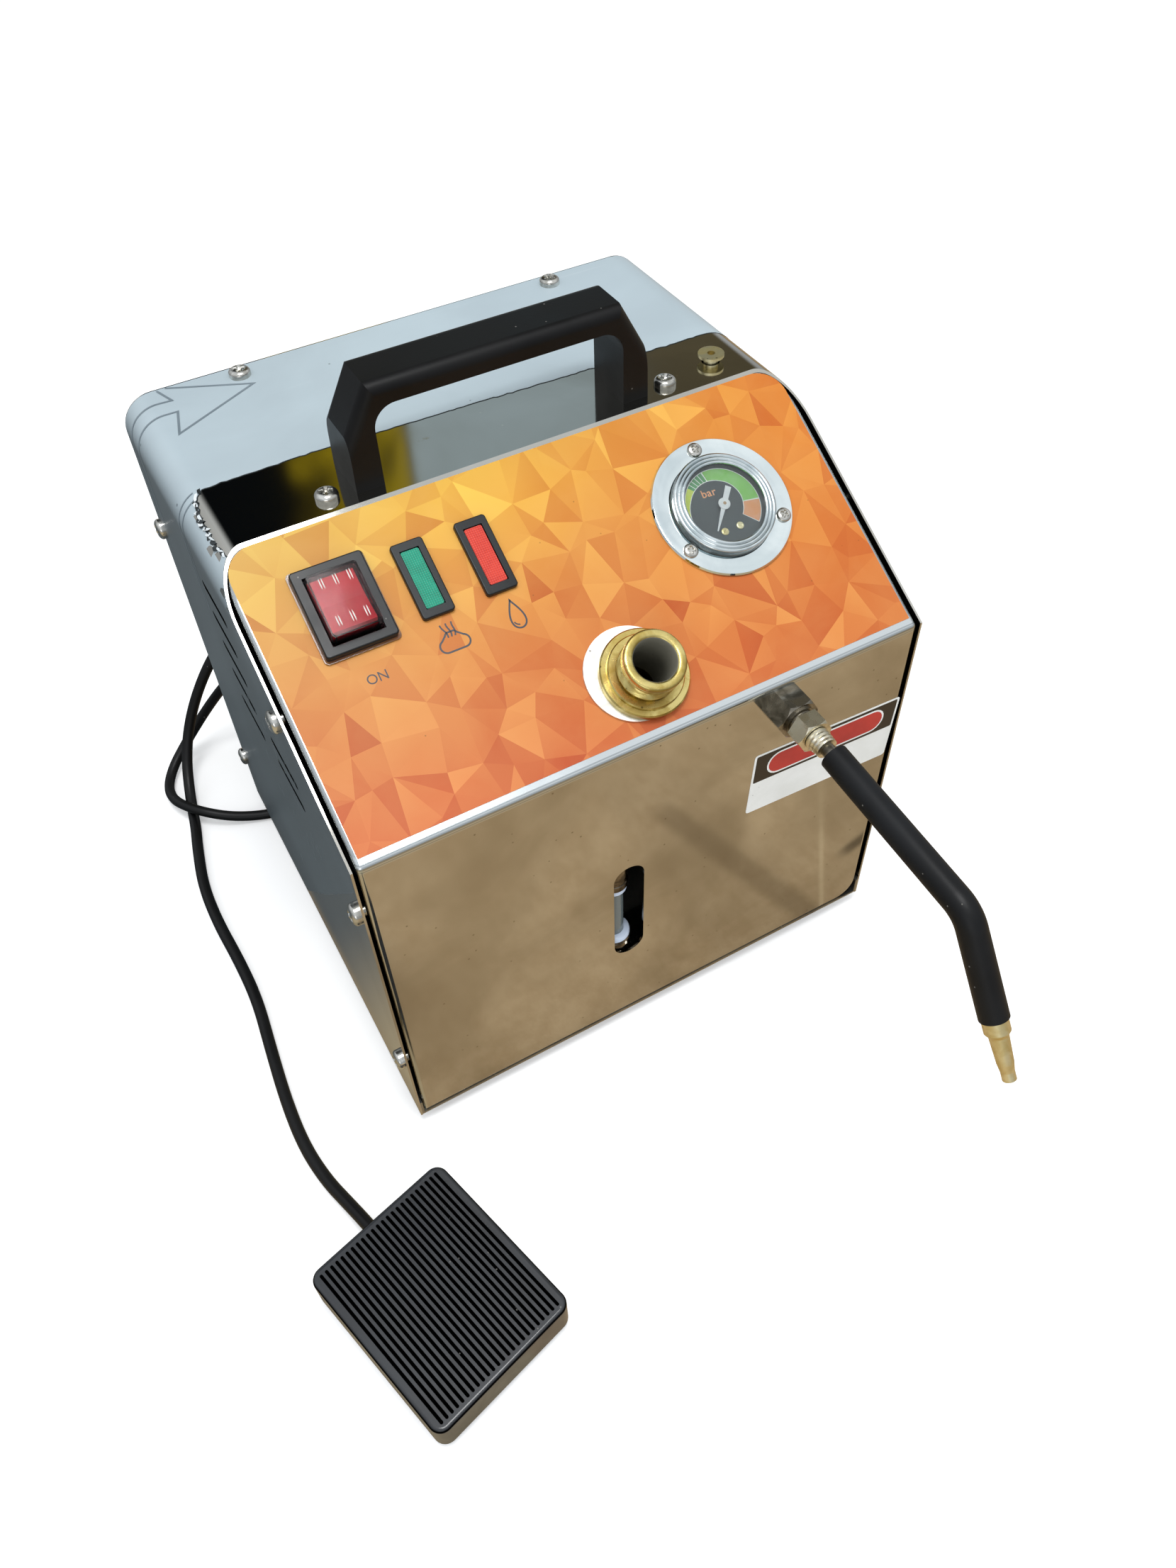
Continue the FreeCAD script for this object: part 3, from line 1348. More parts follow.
def make_filler():
    """The filler: washer, stepped collar, threaded neck with its locknut and the pipe to the boiler."""
    base = size.overlay_sheet
    washer_top = base + size.filler_washer_sheet
    inside = size.filler_neck + 0.1
    x, v = size.filler_x, size.filler_v
    washer = turned("filler_washer", [
        (inside, base), (size.filler_washer, base), (size.filler_washer, washer_top - 0.3),
        (size.filler_washer - 0.3, washer_top), (inside, washer_top)])
    keep("filler_washer", put_on_slope(washer, x, v))
    step = base + size.filler_collar_rise
    crown = base + size.filler_collar_step_rise
    thread_low = crown + size.filler_undercut_length
    collar = turned("filler_collar", [
        (inside, washer_top), (size.filler_collar, washer_top), (size.filler_collar, step - 0.6),
        (size.filler_collar - 0.6, step), (size.filler_collar_step, step),
        (size.filler_collar_step, crown - 0.5), (size.filler_collar_step - 0.5, crown), (inside, crown)])
    keep("filler_collar", put_on_slope(collar, x, v))
    chamfer = size.filler_neck_chamfer
    mouth = size.filler_neck_rise
    drop = -size.filler_neck_drop
    nut_top = -size.panel_sheet
    nut_low = nut_top - size.filler_locknut_height
    neck = turned("filler_neck", [
        (size.filler_bore, drop), (size.filler_neck, drop), (size.filler_neck, nut_low),
        (size.filler_locknut, nut_low), (size.filler_locknut, nut_top), (size.filler_neck, nut_top),
        (size.filler_neck, crown), (size.filler_undercut, crown), (size.filler_undercut, thread_low),
        (size.filler_thread, thread_low), (size.filler_thread, mouth - chamfer),
        (size.filler_thread - chamfer, mouth), (size.filler_bore + chamfer, mouth),
        (size.filler_bore, mouth - chamfer)])
    keep("filler_neck", put_on_slope(neck, x, v))
    pipe_end = drop - size.filler_pipe_length
    pipe = turned("filler_pipe", [
        (size.filler_bore, pipe_end), (size.filler_pipe, pipe_end), (size.filler_pipe, drop),
        (size.filler_bore, drop)])
    keep("filler_pipe", put_on_slope(pipe, x, v))
    hole = cylinder("filler_pipe_hole", size.filler_pipe + size.running_clearance,
                    size.filler_pipe_length + 30.0)
    return [put_on_slope(hole, x, v, drop - size.filler_pipe_length - 30.0)]


# ---------------------------------------------------------------- steam side


def make_relief_valve():
    """The relief valve: brass body beside the boiler, its stem and lifting disc above the top."""
    disc_top = size.case_height + size.relief_disc_top
    disc_low = disc_top - size.relief_disc_sheet
    stem_low = disc_low - size.relief_stem_length
    disc = turned("relief_disc", [
        (0.0, stem_low), (size.relief_stem, stem_low), (size.relief_stem, disc_low),
        (size.relief_disc, disc_low), (size.relief_disc, disc_top), (size.relief_eye, disc_top),
        (size.relief_eye, disc_top - size.relief_eye_depth), (0.0, disc_top - size.relief_eye_depth)])
    keep("relief_disc", put(disc, relief_x, relief_y, 0.0))
    bore = size.relief_stem + size.running_clearance
    bore_low = stem_low - 2.0
    low = size.relief_body_bottom
    turned_body = turned("relief_turned", [
        (0.0, low), (size.relief_body - 1.0, low), (size.relief_body, low + 1.0),
        (size.relief_body, low + 24.0), (size.relief_body - 2.0, low + 26.0),
        (size.relief_body - 2.0, bore_low - 12.0), (size.relief_body, bore_low - 10.0),
        (size.relief_body, relief_body_top), (bore, relief_body_top), (bore, bore_low), (0.0, bore_low)])
    put(turned_body, relief_x, relief_y, 0.0)
    wall_x = boiler_wall_x(relief_y)
    reach = relief_x - wall_x + size.boiler_wall + 1.5
    inlet = cylinder("relief_inlet", size.relief_inlet, reach)
    put(inlet, relief_x, relief_y, size.relief_inlet_z, FACES_LEFT)
    keep("relief_valve_body", fuse("relief_valve_body", turned_body, inlet))
    hole = cylinder("relief_inlet_hole", size.relief_inlet + size.running_clearance, reach + 20.0)
    return [put(hole, relief_x, relief_y, size.relief_inlet_z, FACES_LEFT)]


def boiler_wall_x(y):
    """The boiler's right side at a depth y."""
    offset = y - size.boiler_y
    return size.boiler_x + root(size.boiler_radius * size.boiler_radius - offset * offset)


def boiler_wall_y(x, side):
    """The boiler's front (side -1) or rear (side 1) at a width x."""
    offset = x - size.boiler_x
    return size.boiler_y + root(size.boiler_radius * size.boiler_radius - offset * offset) * side


def out_of_front(thing, out):
    """Place a piece on the outlet's axis, its Z pointing out of the front face."""
    return put(thing, size.outlet_x, front_y - out, size.outlet_z, FACES_FRONT)


def make_outlet():
    """The steam outlet: threaded nipple, two nuts, ribbed spigot, bent pipe, sleeve and nozzle."""
    thread = size.outlet_thread
    inner_end, nut_end, collar_end = -size.outlet_inner_length, size.outlet_nut_end, size.outlet_collar_end
    collar, waist = size.outlet_collar, size.outlet_collar - 1.0
    nipple = turned("outlet_nipple", [
        (size.pipe_bore, inner_end), (thread, inner_end), (thread, nut_end), (collar, nut_end),
        (collar, nut_end + 0.8), (waist, nut_end + 1.2), (waist, collar_end - 0.4),
        (collar, collar_end), (size.pipe_bore, collar_end)])
    inner_nut = hexagon("outlet_inner_hex", size.outlet_inner_nut_flats, size.outlet_inner_nut)
    put(inner_nut, 0.0, 0.0, -size.panel_sheet - size.outlet_inner_nut)
    keep("outlet_nipple", out_of_front(fuse("outlet_nipple", nipple, inner_nut), 0.0))
    nut = chamfered_nut("outlet_nut", size.outlet_nut_flats, size.outlet_nut_end, thread)
    keep("outlet_nut", out_of_front(nut, 0.0))
    compression_length = size.compression_nut_end - size.outlet_collar_end
    pipe_seat = size.pipe_radius + size.pipe_fit
    compression = chamfered_nut("compression_nut", size.compression_nut_flats, compression_length, pipe_seat)
    keep("compression_nut", out_of_front(compression, size.outlet_collar_end))
    start = size.compression_nut_end
    rib = (size.spigot_end - start) / 4
    profile = [(pipe_seat, start)]
    for index in range(4):
        low = start + rib * index
        profile.append((size.spigot_barb - 0.2 * index, low + rib * 0.15))
        profile.append((size.spigot_barb - 0.2 * index, low + rib * 0.5))
        profile.append((size.spigot_root, low + rib * 0.9))
    profile.append((pipe_seat, size.spigot_end))
    keep("hose_spigot", out_of_front(turned("hose_spigot", profile), 0.0))
    make_steam_pipe()


def make_steam_pipe():
    """The bent pipe from the nipple to the nozzle, its black sleeve and the nozzle's tip."""
    x = size.outlet_x
    pipe_points = [(x, front_y - size.outlet_collar_end, size.outlet_z),
                   (x, front_y - size.spigot_end - 3.0, size.outlet_z),
                   (x, front_y - size.pipe_bend_out, size.pipe_bend_z),
                   (x, front_y - size.pipe_tip_out, size.pipe_tip_z)]
    bends = [30.0, float(size.pipe_bend_radius)]
    pipe = tube_along(route_wire(pipe_points, bends), size.pipe_radius, size.pipe_bore)
    keep("steam_pipe", feature_of("steam_pipe", pipe))
    droop_start, bend_point, tip_point = [vector_of(point) for point in pipe_points[1:]]
    sleeve_start = droop_start + (bend_point - droop_start).normalize() * float(size.sleeve_gap)
    sleeve_points = [tuple(sleeve_start), pipe_points[2], pipe_points[3]]
    sleeve = tube_along(route_wire(sleeve_points, bends[1:]), size.sleeve_radius, size.pipe_radius + 0.05)
    keep("pipe_sleeve", feature_of("pipe_sleeve", sleeve))

    turn = Rotation(Vector(0, 0, 1), tip_point - bend_point)
    grip = size.nozzle_grip
    length, tip = size.nozzle_length, size.nozzle_tip
    turned_tip = turned("nozzle_turned", [
        (size.nozzle_bore, size.nozzle_gap), (size.nozzle_hex, size.nozzle_gap), (size.nozzle_hex, grip),
        (size.nozzle_hex - 0.7, grip + 1.0), (tip + 1.2, grip + 2.0), (tip + 0.6, length - 8.0),
        (tip, length - 4.0), (tip, length), (size.nozzle_bore, length)])
    flats = hexagon("nozzle_hex_bar", size.nozzle_hex * 2, size.nozzle_length * 2)
    nozzle = common("nozzle_tip", turned_tip, flats)
    nozzle.Placement = Placement(tip_point, turn)
    keep("nozzle_tip", nozzle)


def chamfered_nut(name, flats, height, bore):
    """A hexagon nut whose corners are turned off at its outer end."""
    corner = flats / math.sqrt(3)
    blank = hexagon(name + "_hex", flats, height)
    turning = turned(name + "_turning", [
        (bore, 0.0), (corner + 0.1, 0.0), (corner + 0.1, height - (corner - flats / 2)),
        (flats / 2, height), (bore, height)])
    return common(name, blank, turning)


def make_steam_valve():
    """The solenoid valve behind the outlet and the pipe that feeds it from the boiler."""
    x, z = size.outlet_x, size.outlet_z
    front = front_y + size.outlet_inner_length
    body = block("valve_body", size.valve_width, size.valve_width, size.valve_length)
    put(body, x, front, z, FACES_BACK)
    coil = cylinder("valve_coil", size.valve_coil, size.valve_coil_length)
    put(coil, x + size.valve_width / 2, front + size.valve_length / 2, z, FACES_RIGHT)
    keep("solenoid_valve", fuse("solenoid_valve", body, coil))
    rear = front + size.valve_length
    line = [(x, rear, z), (x, size.steam_line_y, z), (x, size.steam_line_y, size.boiler_top - 4.0)]
    pipe = tube_along(route_wire(line, [12.0]), size.steam_line_radius)
    keep("steam_line", feature_of("steam_line", pipe))
    return [cylinder_between("steam_line_hole", line[1], line[2],
                             float(size.steam_line_radius) + float(size.running_clearance))]


def make_sight_glass():
    """The water gauge behind its slot: glass tube, seals and two elbows into the boiler."""
    x = size.sight_tube_x
    y = front_y + size.sight_tube_setback
    low = size.sight_slot_bottom - size.sight_elbow_reach
    high = size.sight_slot_top + size.sight_elbow_reach
    tube = turned("sight_tube", [
        (size.sight_tube - size.sight_tube_wall, low), (size.sight_tube, low), (size.sight_tube, high),
        (size.sight_tube - size.sight_tube_wall, high)])
    keep("sight_tube", put(tube, x, y, 0.0))
    seal = turned("sight_seal", [
        (size.sight_tube + 0.05, 0.0), (size.sight_seal - 1.0, 0.0), (size.sight_seal, 1.0),
        (size.sight_seal, size.sight_seal_height), (size.sight_tube + 0.05, size.sight_seal_height)])
    places = [place_of((x, y, low + size.sight_seal_height), Rotation(Vector(1, 0, 0), 180)),
              place_of((x, y, high - size.sight_seal_height))]
    keep_group("sight_seals", copied(seal, places))
    wall_y = boiler_wall_y(x, -1)
    inlet_length = wall_y - y + size.boiler_wall + 2.0
    tools = []
    elbows = []
    for label, z in (("low", low - size.sight_elbow_height), ("high", high)):
        post = cylinder(f"sight_elbow_{label}", size.sight_elbow, size.sight_elbow_height)
        put(post, x, y, z)
        middle = z + size.sight_elbow_height / 2
        stub = cylinder(f"sight_stub_{label}", size.sight_inlet, inlet_length)
        put(stub, x, y, middle, FACES_BACK)
        elbows.append(fuse(f"sight_elbow_{label}_joined", post, stub))
        hole = cylinder(f"sight_hole_{label}", size.sight_inlet + size.running_clearance,
                        inlet_length + 20.0)
        tools.append(put(hole, x, y, middle, FACES_BACK))
    group = doc.addObject("Part::Compound", "sight_elbows")
    group.Links = elbows
    keep("sight_elbows", group)
    return tools


def make_heater():
    """The immersion heater: hexagon head on the boiler's rear and a hairpin rod inside."""
    x, z = size.boiler_x, size.heater_z
    wall_y = size.boiler_y + size.boiler_radius
    inside_y = wall_y - size.boiler_wall - 4.0
    half = size.heater_half
    tip_y = inside_y - size.heater_reach
    left_foot, left_tip = vector_of((x - half, inside_y, z)), vector_of((x - half, tip_y, z))
    right_foot, right_tip = vector_of((x + half, inside_y, z)), vector_of((x + half, tip_y, z))
    bend = Part.Arc(left_tip, vector_of((x, tip_y - half, z)), right_tip)
    runs = [Part.LineSegment(left_foot, left_tip), bend, Part.LineSegment(right_tip, right_foot)]
    hairpin = Part.Wire([run.toShape() for run in runs])
    rod = feature_of("heater_rod", tube_along(hairpin, size.heater_rod))
    spigot = cylinder("heater_spigot", size.heater_spigot, size.boiler_wall + 4.5)
    put(spigot, x, inside_y - 0.3, z, FACES_BACK)
    head = hexagon("heater_head", size.heater_flats, size.heater_head)
    put(head, x, wall_y + 0.1, z, FACES_BACK)
    terminals = []
    for side, offset in (("left", -1), ("right", 1)):
        terminal = cylinder(f"heater_terminal_{side}", size.heater_terminal, size.heater_terminal_length)
        terminals.append(put(terminal, x + half * offset, wall_y + size.heater_head, z, FACES_BACK))
    keep("heating_element", fuse("heating_element", rod, spigot, head, *terminals))
    hole = cylinder("heater_hole", size.heater_spigot + size.running_clearance, size.boiler_radius)
    return [put(hole, x, wall_y - size.boiler_radius / 4, z, FACES_BACK)]


def make_pressure_switch():
    """The pressure switch that stands on the boiler."""
    low = size.boiler_top - 4.0
    radius = size.pressure_switch_radius
    top = size.boiler_top
    switch = turned("pressure_switch", [
        (0.0, low), (4.5, low), (4.5, top), (8.0, top), (8.0, top + 8.0), (radius, top + 9.0),
        (radius, top + 26.0), (radius - 2.0, top + 28.0), (0.0, top + 28.0)])
    keep("pressure_switch", put(switch, size.pressure_switch_x, size.pressure_switch_y, 0.0))
    hole = cylinder("pressure_switch_hole", 4.5 + size.running_clearance, 20.0)
    return [put(hole, size.pressure_switch_x, size.pressure_switch_y, low - 5.0)]


def make_boiler(connections):
    """The boiler shell on its ring stand, holed for every pipe that enters it."""
    radius = size.boiler_radius
    wall = size.boiler_wall
    low, high = size.boiler_bottom, size.boiler_top
    outside = boiler_drum("boiler_outside", radius, low, high, size.boiler_round)
    inside = boiler_drum("boiler_inside", radius - wall, low + wall, high - wall, size.boiler_round - wall)
    keep("boiler_tank", cut("boiler_tank", outside, inside, *connections))
    stand_in = size.boiler_stand - size.boiler_stand_wall
    ring = turned("boiler_ring", [
        (stand_in, size.base_sheet), (size.boiler_stand + 8.0, size.base_sheet),
        (size.boiler_stand + 8.0, size.base_sheet + size.boiler_stand_wall),
        (size.boiler_stand, size.base_sheet + size.boiler_stand_wall), (size.boiler_stand, low),
        (stand_in, low)])
    keep("boiler_stand", put(ring, size.boiler_x, size.boiler_y, 0.0))


def boiler_drum(name, radius, low, high, rim_round):
    """A drum on the boiler's axis with both rims rounded."""
    drum = turned(name, [(0.0, low), (radius, low), (radius, high), (0.0, high)])
    rim = float(radius)
    round_edges(drum, rim_round, lambda edge: is_rim(edge, rim))
    return put(drum, size.boiler_x, size.boiler_y, 0.0)


def is_rim(edge, radius):
    """True for a full circle of the given radius about the Z axis."""
    return isinstance(edge.Curve, Part.Circle) and abs(edge.Curve.Radius - radius) < 0.01


def make_terminal_block():
    """The wiring block screwed to the tray."""
    body = block("terminal_strip", size.terminal_block_width, size.terminal_block_length,
                 size.terminal_block_height)
    wells = []
    pitch = size.terminal_block_length / 6
    for row in range(6):
        for side in (-1, 1):
            well = cylinder(f"terminal_well_{row}_{side + 1}", 2.4, 6.0)
            wells.append(put(well, size.terminal_block_width / 4 * side, pitch * (row - 2.5),
                             size.terminal_block_height - 4.0))
    strip = cut("terminal_block", body, *wells)
    keep("terminal_block", put(strip, size.terminal_block_x, size.terminal_block_y, base_level))


# ---------------------------------------------------------------- cords and plug


def make_strain_reliefs():
    """Two moulded cable outlets: flange inside, neck through the sheet and a tapered ribbed tail."""
    sheet_in = size.panel_sheet
    flange = size.gland_flange
    thick = size.gland_flange_sheet
    neck = size.gland_neck - 0.02
    tail = size.gland_length
    inside = -sheet_in
    profile = [(0.0, inside - thick), (flange, inside - thick), (flange, inside), (neck, inside),
               (neck, 0.0), (flange, 0.0), (flange, thick)]
    ribs = 4
    rib = (tail - thick) / ribs
    root_radius = size.gland_neck + 0.6
    for index in range(ribs):
        radius = root_radius - (root_radius - size.gland_tip) * ((index + 0.5) / ribs)
        low = thick + rib * index
        profile.append((radius - 0.9, low + 0.1))
        profile.append((radius - 0.9, low + rib * 0.3))
        profile.append((radius, low + rib * 0.4))
        profile.append((radius, low + rib * 0.95))
    profile.append((size.gland_tip, tail))
    profile.append((0.0, tail))
    relief = turned("strain_relief", profile)
    heights = (size.pedal_gland_z, size.mains_gland_z)
    places = [place_of((size.gland_x, back_y, z), FACES_BACK) for z in heights]
    keep_group("strain_reliefs", copied(relief, places))


def make_cord(name, route, radius):
    """A free cord: straight runs and wide arcs; its radii and volume are printed."""
    radii = cord_radii(route)
    wire = route_wire(route, radii)
    tube = tube_along(wire, radius)
    expected = math.pi * float(radius) ** 2 * wire.Length
    smallest = min(radii)
    print(f"{name}: length {wire.Length:.0f} mm, volume ratio {tube.Volume / expected:.4f}, "
          f"smallest arc radius {smallest:.1f} mm")
    print("  radii", " ".join(f"{value:.0f}" for value in radii))
    keep(name, feature_of(name, tube))


def make_coil():
    """The rest of the mains cord, coiled flat on the floor and held by two ties."""
    low = floor_z + size.tie_sheet
    high = low + size.coil_height
    inner, outer = size.coil_inner, size.coil_outer
    nick = 2.5
    coil = turned("mains_coil", [
        (inner + nick, low), (outer - nick, low), (outer, low + nick), (outer, high - nick),
        (outer - nick, high), (inner + nick, high), (inner, high - nick), (inner, low + nick)])
    keep("mains_coil", put(coil, size.coil_x, size.coil_y, 0.0))
    sheet_out = size.tie_sheet
    slack = 0.05
    # the ring bulges inwards by this much over the width of a tie
    bulge = inner - root(inner * inner - size.tie_width * size.tie_width / 4)
    hole_width = outer - inner + bulge + slack * 2
    strap_inside = block("tie_inside", hole_width, size.tie_width * 2, size.coil_height + slack)
    put(strap_inside, 0.0, 0.0, sheet_out)
    strap_outside = block("tie_outside", hole_width + sheet_out * 2, size.tie_width,
                          size.coil_height + sheet_out * 2 + slack)
    strap = cut("tie_strap", strap_outside, strap_inside)
    middle = (inner + outer - bulge) / 2
    places = []
    for degrees in (100, 280):
        angle = math.radians(degrees)
        x = float(size.coil_x) + float(middle) * math.cos(angle)
        y = float(size.coil_y) + float(middle) * math.sin(angle)
        places.append(place_of((x, y, floor_z), Rotation(Vector(0, 0, 1), degrees)))
    keep_group("coil_ties", copied(strap, places))


def make_plug():
    """A plain two-pin plug lying on the floor at the cord's end."""
    body = new_body("plug_body")
    wide, narrow = size.plug_width / 2, size.plug_neck_width / 2
    plan = [(-wide, 0.0), (wide, 0.0), (wide, size.plug_length * 0.45), (narrow, size.plug_length),
            (-narrow, size.plug_length), (-wide, size.plug_length * 0.45)]
    pad(body, draw_outline(body, "plug_plan", "XY_Plane", plan), size.plug_thickness)
    round_edges(body, 2.0, lambda edge: is_along(edge, Vector(0, 0, 1)))
    pins = []
    for side, x in (("left", -size.plug_pin_spacing / 2), ("right", size.plug_pin_spacing / 2)):
        pin = cylinder(f"plug_pin_{side}", size.plug_pin, size.plug_pin_length + 4.0)
        pins.append(put(pin, x, 4.0, size.plug_thickness / 2, FACES_FRONT))
    plug = fuse("mains_plug", body, *pins)
    turn = Rotation(Vector(0, 0, 1), float(size.plug_turn))
    keep("mains_plug", put(plug, size.plug_x, size.plug_y, floor_z, turn))


# ---------------------------------------------------------------- foot switch


def on_pedal(thing, x=0.0, y=0.0, z=0.0, turn=Rotation()):
    """Place a piece in the foot switch's own frame, which stands turned on the floor."""
    thing.Placement = pedal_place(x, y, z).multiply(Placement(Vector(), turn))
    return thing


def make_pedal():
    """The foot switch: hinged grooved treadle over a tray with pin, spring and microswitch."""
    width, length, height = size.pedal_width, size.pedal_length, size.pedal_height
    wall = size.pedal_wall
    skirt = size.pedal_skirt_bottom
    pin_y = length / 2 - size.pedal_pin_inset
    pin_z = size.pedal_pin_rise
    inner_width = width - wall * 2
    inner_length = length - wall * 2

    shell = rounded_block("treadle_shell", width, length, height - skirt, size.pedal_corner)
    round_rim(shell, size.pedal_edge_round, height - skirt)
    grooves = new_body("treadle_grooves")
    groove_length = length - size.pedal_groove_end * 2
    first_x = -size.pedal_groove_pitch * (size.pedal_groove_count - 1) / 2
    centres = [(0.0, first_x)]
    sketch = draw_slots(grooves, "groove_slot", "XY_Plane", centres, groove_length, size.pedal_groove_width)
    cutter = pad(grooves, sketch, size.pedal_groove_depth * 2, midplane=True)
    pattern = grooves.newObject("PartDesign::LinearPattern", "groove_row")
    pattern.Originals = [cutter]
    pattern.Direction = (sketch, ["V_Axis"])
    bind(pattern, "Length", size.pedal_groove_pitch * (size.pedal_groove_count - 1))
    pattern.Occurrences = int(size.pedal_groove_count.value)
    grooves.Tip = pattern
    put(grooves, 0.0, 0.0, height - skirt, Rotation(Vector(0, 0, 1), 90))
    hollow = rounded_block("treadle_hollow", inner_width, inner_length,
                           height - skirt - size.pedal_top_sheet, size.pedal_corner - wall)
    notch_top = size.pedal_cord_rise + size.pedal_cord_radius + 1.4
    notch = block("treadle_notch", size.pedal_cord_radius * 2 + 3.0, 12.0, notch_top - skirt + 5.0)
    put(notch, size.pedal_cord_x, length / 2, -5.0)
    pin_hole = cylinder("treadle_pin_hole", size.pedal_pin_radius + size.running_clearance, width * 1.2)
    put(pin_hole, -width * 0.6, pin_y, pin_z - skirt, FACES_RIGHT)
    boss = cylinder("treadle_spring_boss", size.pedal_spring_radius - 1.6, 6.0)
    put(boss, 0.0, size.pedal_spring_y, height - skirt - size.pedal_top_sheet - 4.0)
    tray_floor = size.pedal_pad + size.pedal_base_sheet
    switch_top = tray_floor + size.pedal_switch_height + size.pedal_switch_plunger
    travel = (pin_y - size.pedal_switch_y) * math.sin(math.radians(float(size.pedal_travel_degrees)))
    finger_length = height - size.pedal_top_sheet - switch_top - travel - 0.3
    finger = block("treadle_finger", 3.0, 4.0, finger_length + 1.0)
    put(finger, 0.0, size.pedal_switch_y, height - skirt - size.pedal_top_sheet - finger_length)
    cap = cut("treadle_cap", shell, grooves, hollow, notch, pin_hole)
    treadle = fuse("pedal_treadle", cap, boss, finger)
    keep("pedal_treadle", on_pedal(treadle, z=skirt))

    clear = size.pedal_base_clearance
    tray_width = inner_width - clear * 2
    tray_length = inner_length - clear * 2
    tray = rounded_block("pedal_tray", tray_width, tray_length, size.pedal_base_rise,
                         size.pedal_corner - wall - clear)
    tray_wall = size.pedal_base_wall
    tray_hollow = rounded_block("pedal_tray_hollow", tray_width - tray_wall * 2,
                                tray_length - tray_wall * 2, size.pedal_base_rise, 1.0)
    put(tray_hollow, 0.0, 0.0, size.pedal_base_sheet)
    open_tray = cut("pedal_open_tray", tray, tray_hollow)
    ears = []
    ear_height = pin_z - size.pedal_pad + size.pedal_pin_radius + 1.8
    for side, sign in (("left", -1), ("right", 1)):
        ear = block(f"pedal_ear_{side}", size.pedal_ear_thickness, 8.0, ear_height)
        ear_x = (tray_width / 2 - size.pedal_ear_thickness / 2) * sign
        ears.append(put(ear, ear_x, pin_y - 0.5, 0.0))
    seat = turned("pedal_spring_seat", [
        (0.0, size.pedal_base_sheet - 0.5), (size.pedal_spring_radius - 1.6, size.pedal_base_sheet - 0.5),
        (size.pedal_spring_radius - 1.6, size.pedal_base_sheet + 3.0), (0.0, size.pedal_base_sheet + 3.0)])
    put(seat, 0.0, size.pedal_spring_y, 0.0)
    base_pin_hole = cylinder("pedal_pin_hole", size.pedal_pin_radius + 0.01, width * 1.2)
    put(base_pin_hole, -width * 0.6, pin_y, pin_z - size.pedal_pad, FACES_RIGHT)
    grommet_neck = size.pedal_cord_radius + 0.8
    cord_hole = cylinder("pedal_cord_hole", grommet_neck, tray_wall * 8)
    put(cord_hole, size.pedal_cord_x, tray_length / 2 - tray_wall * 6,
        size.pedal_cord_rise - size.pedal_pad, FACES_BACK)
    base = cut("pedal_base", fuse("pedal_base_blank", open_tray, seat, *ears), base_pin_hole, cord_hole)
    keep("pedal_base", on_pedal(base, z=size.pedal_pad))

    pin_length = width - size.pedal_pin_short
    pin = cylinder("pedal_pin", size.pedal_pin_radius, pin_length)
    keep("pedal_pin", on_pedal(pin, -pin_length / 2, pin_y, pin_z, FACES_RIGHT))

    spring = make_spring(height - size.pedal_top_sheet - tray_floor)
    spring_lift = tray_floor + size.pedal_spring_wire + size.pedal_spring_gap
    keep("pedal_spring", on_pedal(spring, 0.0, size.pedal_spring_y, spring_lift))

    switch_case = block("switch_case", size.pedal_switch_width, size.pedal_switch_length,
                        size.pedal_switch_height)
    plunger = block("switch_plunger", 2.0, 3.0, size.pedal_switch_height + size.pedal_switch_plunger)
    switch = fuse("pedal_switch", switch_case, plunger)
    keep("pedal_switch", on_pedal(switch, 0.0, size.pedal_switch_y, tray_floor))

    wall_y = tray_length / 2
    flange = 2.0
    grommet = turned("pedal_grommet", [
        (0.0, 0.0), (grommet_neck + 1.2, 0.0), (grommet_neck + 1.2, flange), (grommet_neck - 0.02, flange),
        (grommet_neck - 0.02, flange + tray_wall), (size.pedal_cord_radius + 0.3, flange + tray_wall + 1.5),
        (0.0, flange + tray_wall + 1.5)])
    keep("pedal_grommet", on_pedal(grommet, size.pedal_cord_x, wall_y - tray_wall - flange,
                                   size.pedal_cord_rise, FACES_BACK))


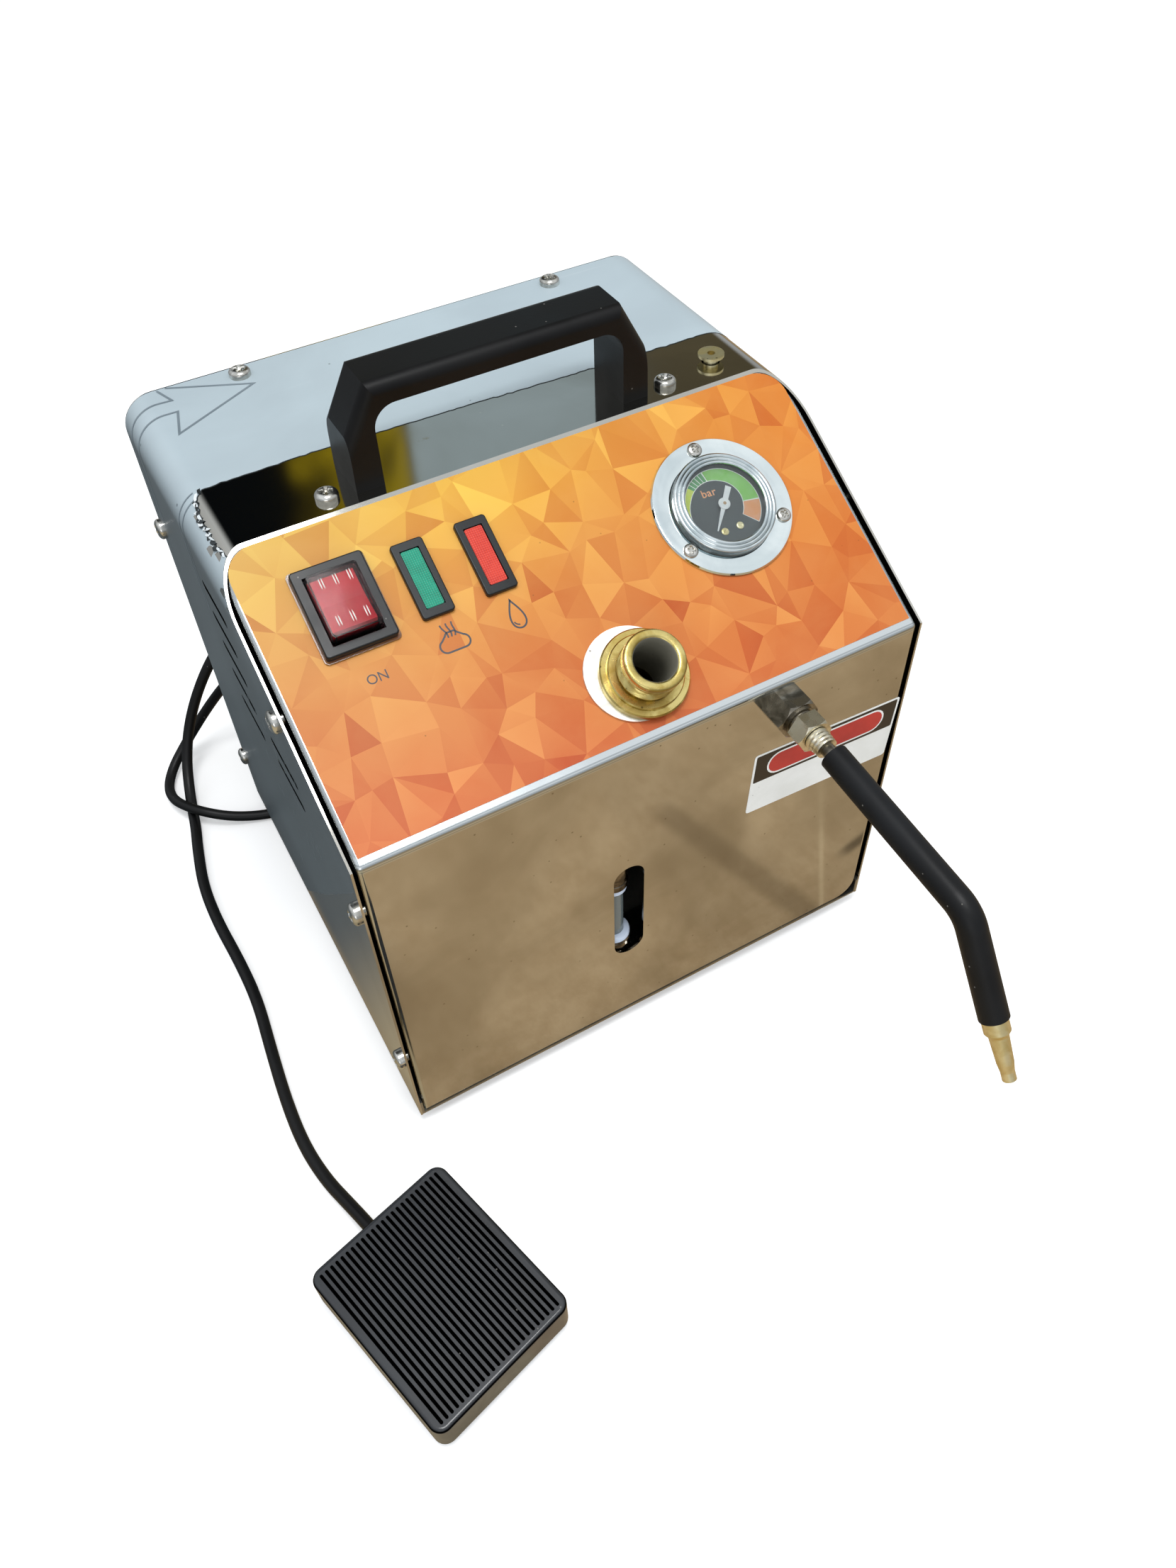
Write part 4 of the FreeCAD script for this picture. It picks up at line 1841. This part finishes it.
def pedal_place(x, y, z):
    """A placement in the foot switch's frame."""
    own = Placement(Vector(float(x), float(y), float(z)), Rotation())
    turn = Rotation(Vector(0, 0, 1), float(size.pedal_turn))
    return Placement(Vector(float(size.pedal_x), float(size.pedal_y), float(floor_z)), turn).multiply(own)


def make_spring(height):
    """A compression spring of round wire between the tray and the treadle."""
    wire = float(size.pedal_spring_wire)
    radius = float(size.pedal_spring_radius)
    rise = float(height) - 2 * wire - 2 * float(size.pedal_spring_gap)
    helix = Part.makeHelix(rise / float(size.pedal_spring_turns), rise, radius)
    start = Vector(radius, 0, 0)
    heading = helix.Edges[0].tangentAt(helix.Edges[0].FirstParameter)
    section = Part.Wire(Part.makeCircle(wire, start, heading))
    return feature_of("pedal_spring", Part.Wire(helix.Edges).makePipeShell([section], True, True))


# ---------------------------------------------------------------- build and write


def build():
    """Make every sub-part of the machine."""
    make_case_cover()
    make_front_panel()
    make_panel_overlay()
    make_base_plate()
    make_feet()
    make_back_panel()
    make_case_screws()
    make_handle()
    make_rocker()
    make_lamps()
    connections = []
    connections += make_gauge()
    connections += make_filler()
    connections += make_relief_valve()
    make_outlet()
    connections += make_steam_valve()
    connections += make_sight_glass()
    connections += make_heater()
    connections += make_pressure_switch()
    make_boiler(connections)
    make_terminal_block()
    make_strain_reliefs()
    make_cord("pedal_cord", PEDAL_CORD_ROUTE, size.pedal_cord_radius)
    make_cord("mains_cord", MAINS_CORD_ROUTE, size.mains_cord_radius)
    make_cord("mains_tail", MAINS_TAIL_ROUTE, size.mains_cord_radius)
    make_coil()
    make_plug()
    make_pedal()


def check_and_write():
    """Stop on any failed object or bad shape, then write one STEP file for each node."""
    doc.recompute()
    failed = [thing.Name for thing in doc.Objects if "Invalid" in thing.State or "Error" in thing.State]
    if failed:
        raise RuntimeError("objects that failed: " + ", ".join(failed))
    for name, thing in nodes.items():
        shape = thing.Shape
        if shape.isNull() or not shape.isValid() or not shape.Solids:
            raise RuntimeError("bad shape: " + name)
    os.makedirs("parts", exist_ok=True)
    for name, thing in nodes.items():
        thing.Shape.exportStep(f"parts/{name}.step")
    print(len(nodes), "sub-parts,", sum(len(thing.Shape.Solids) for thing in nodes.values()), "solids")


build()
check_and_write()
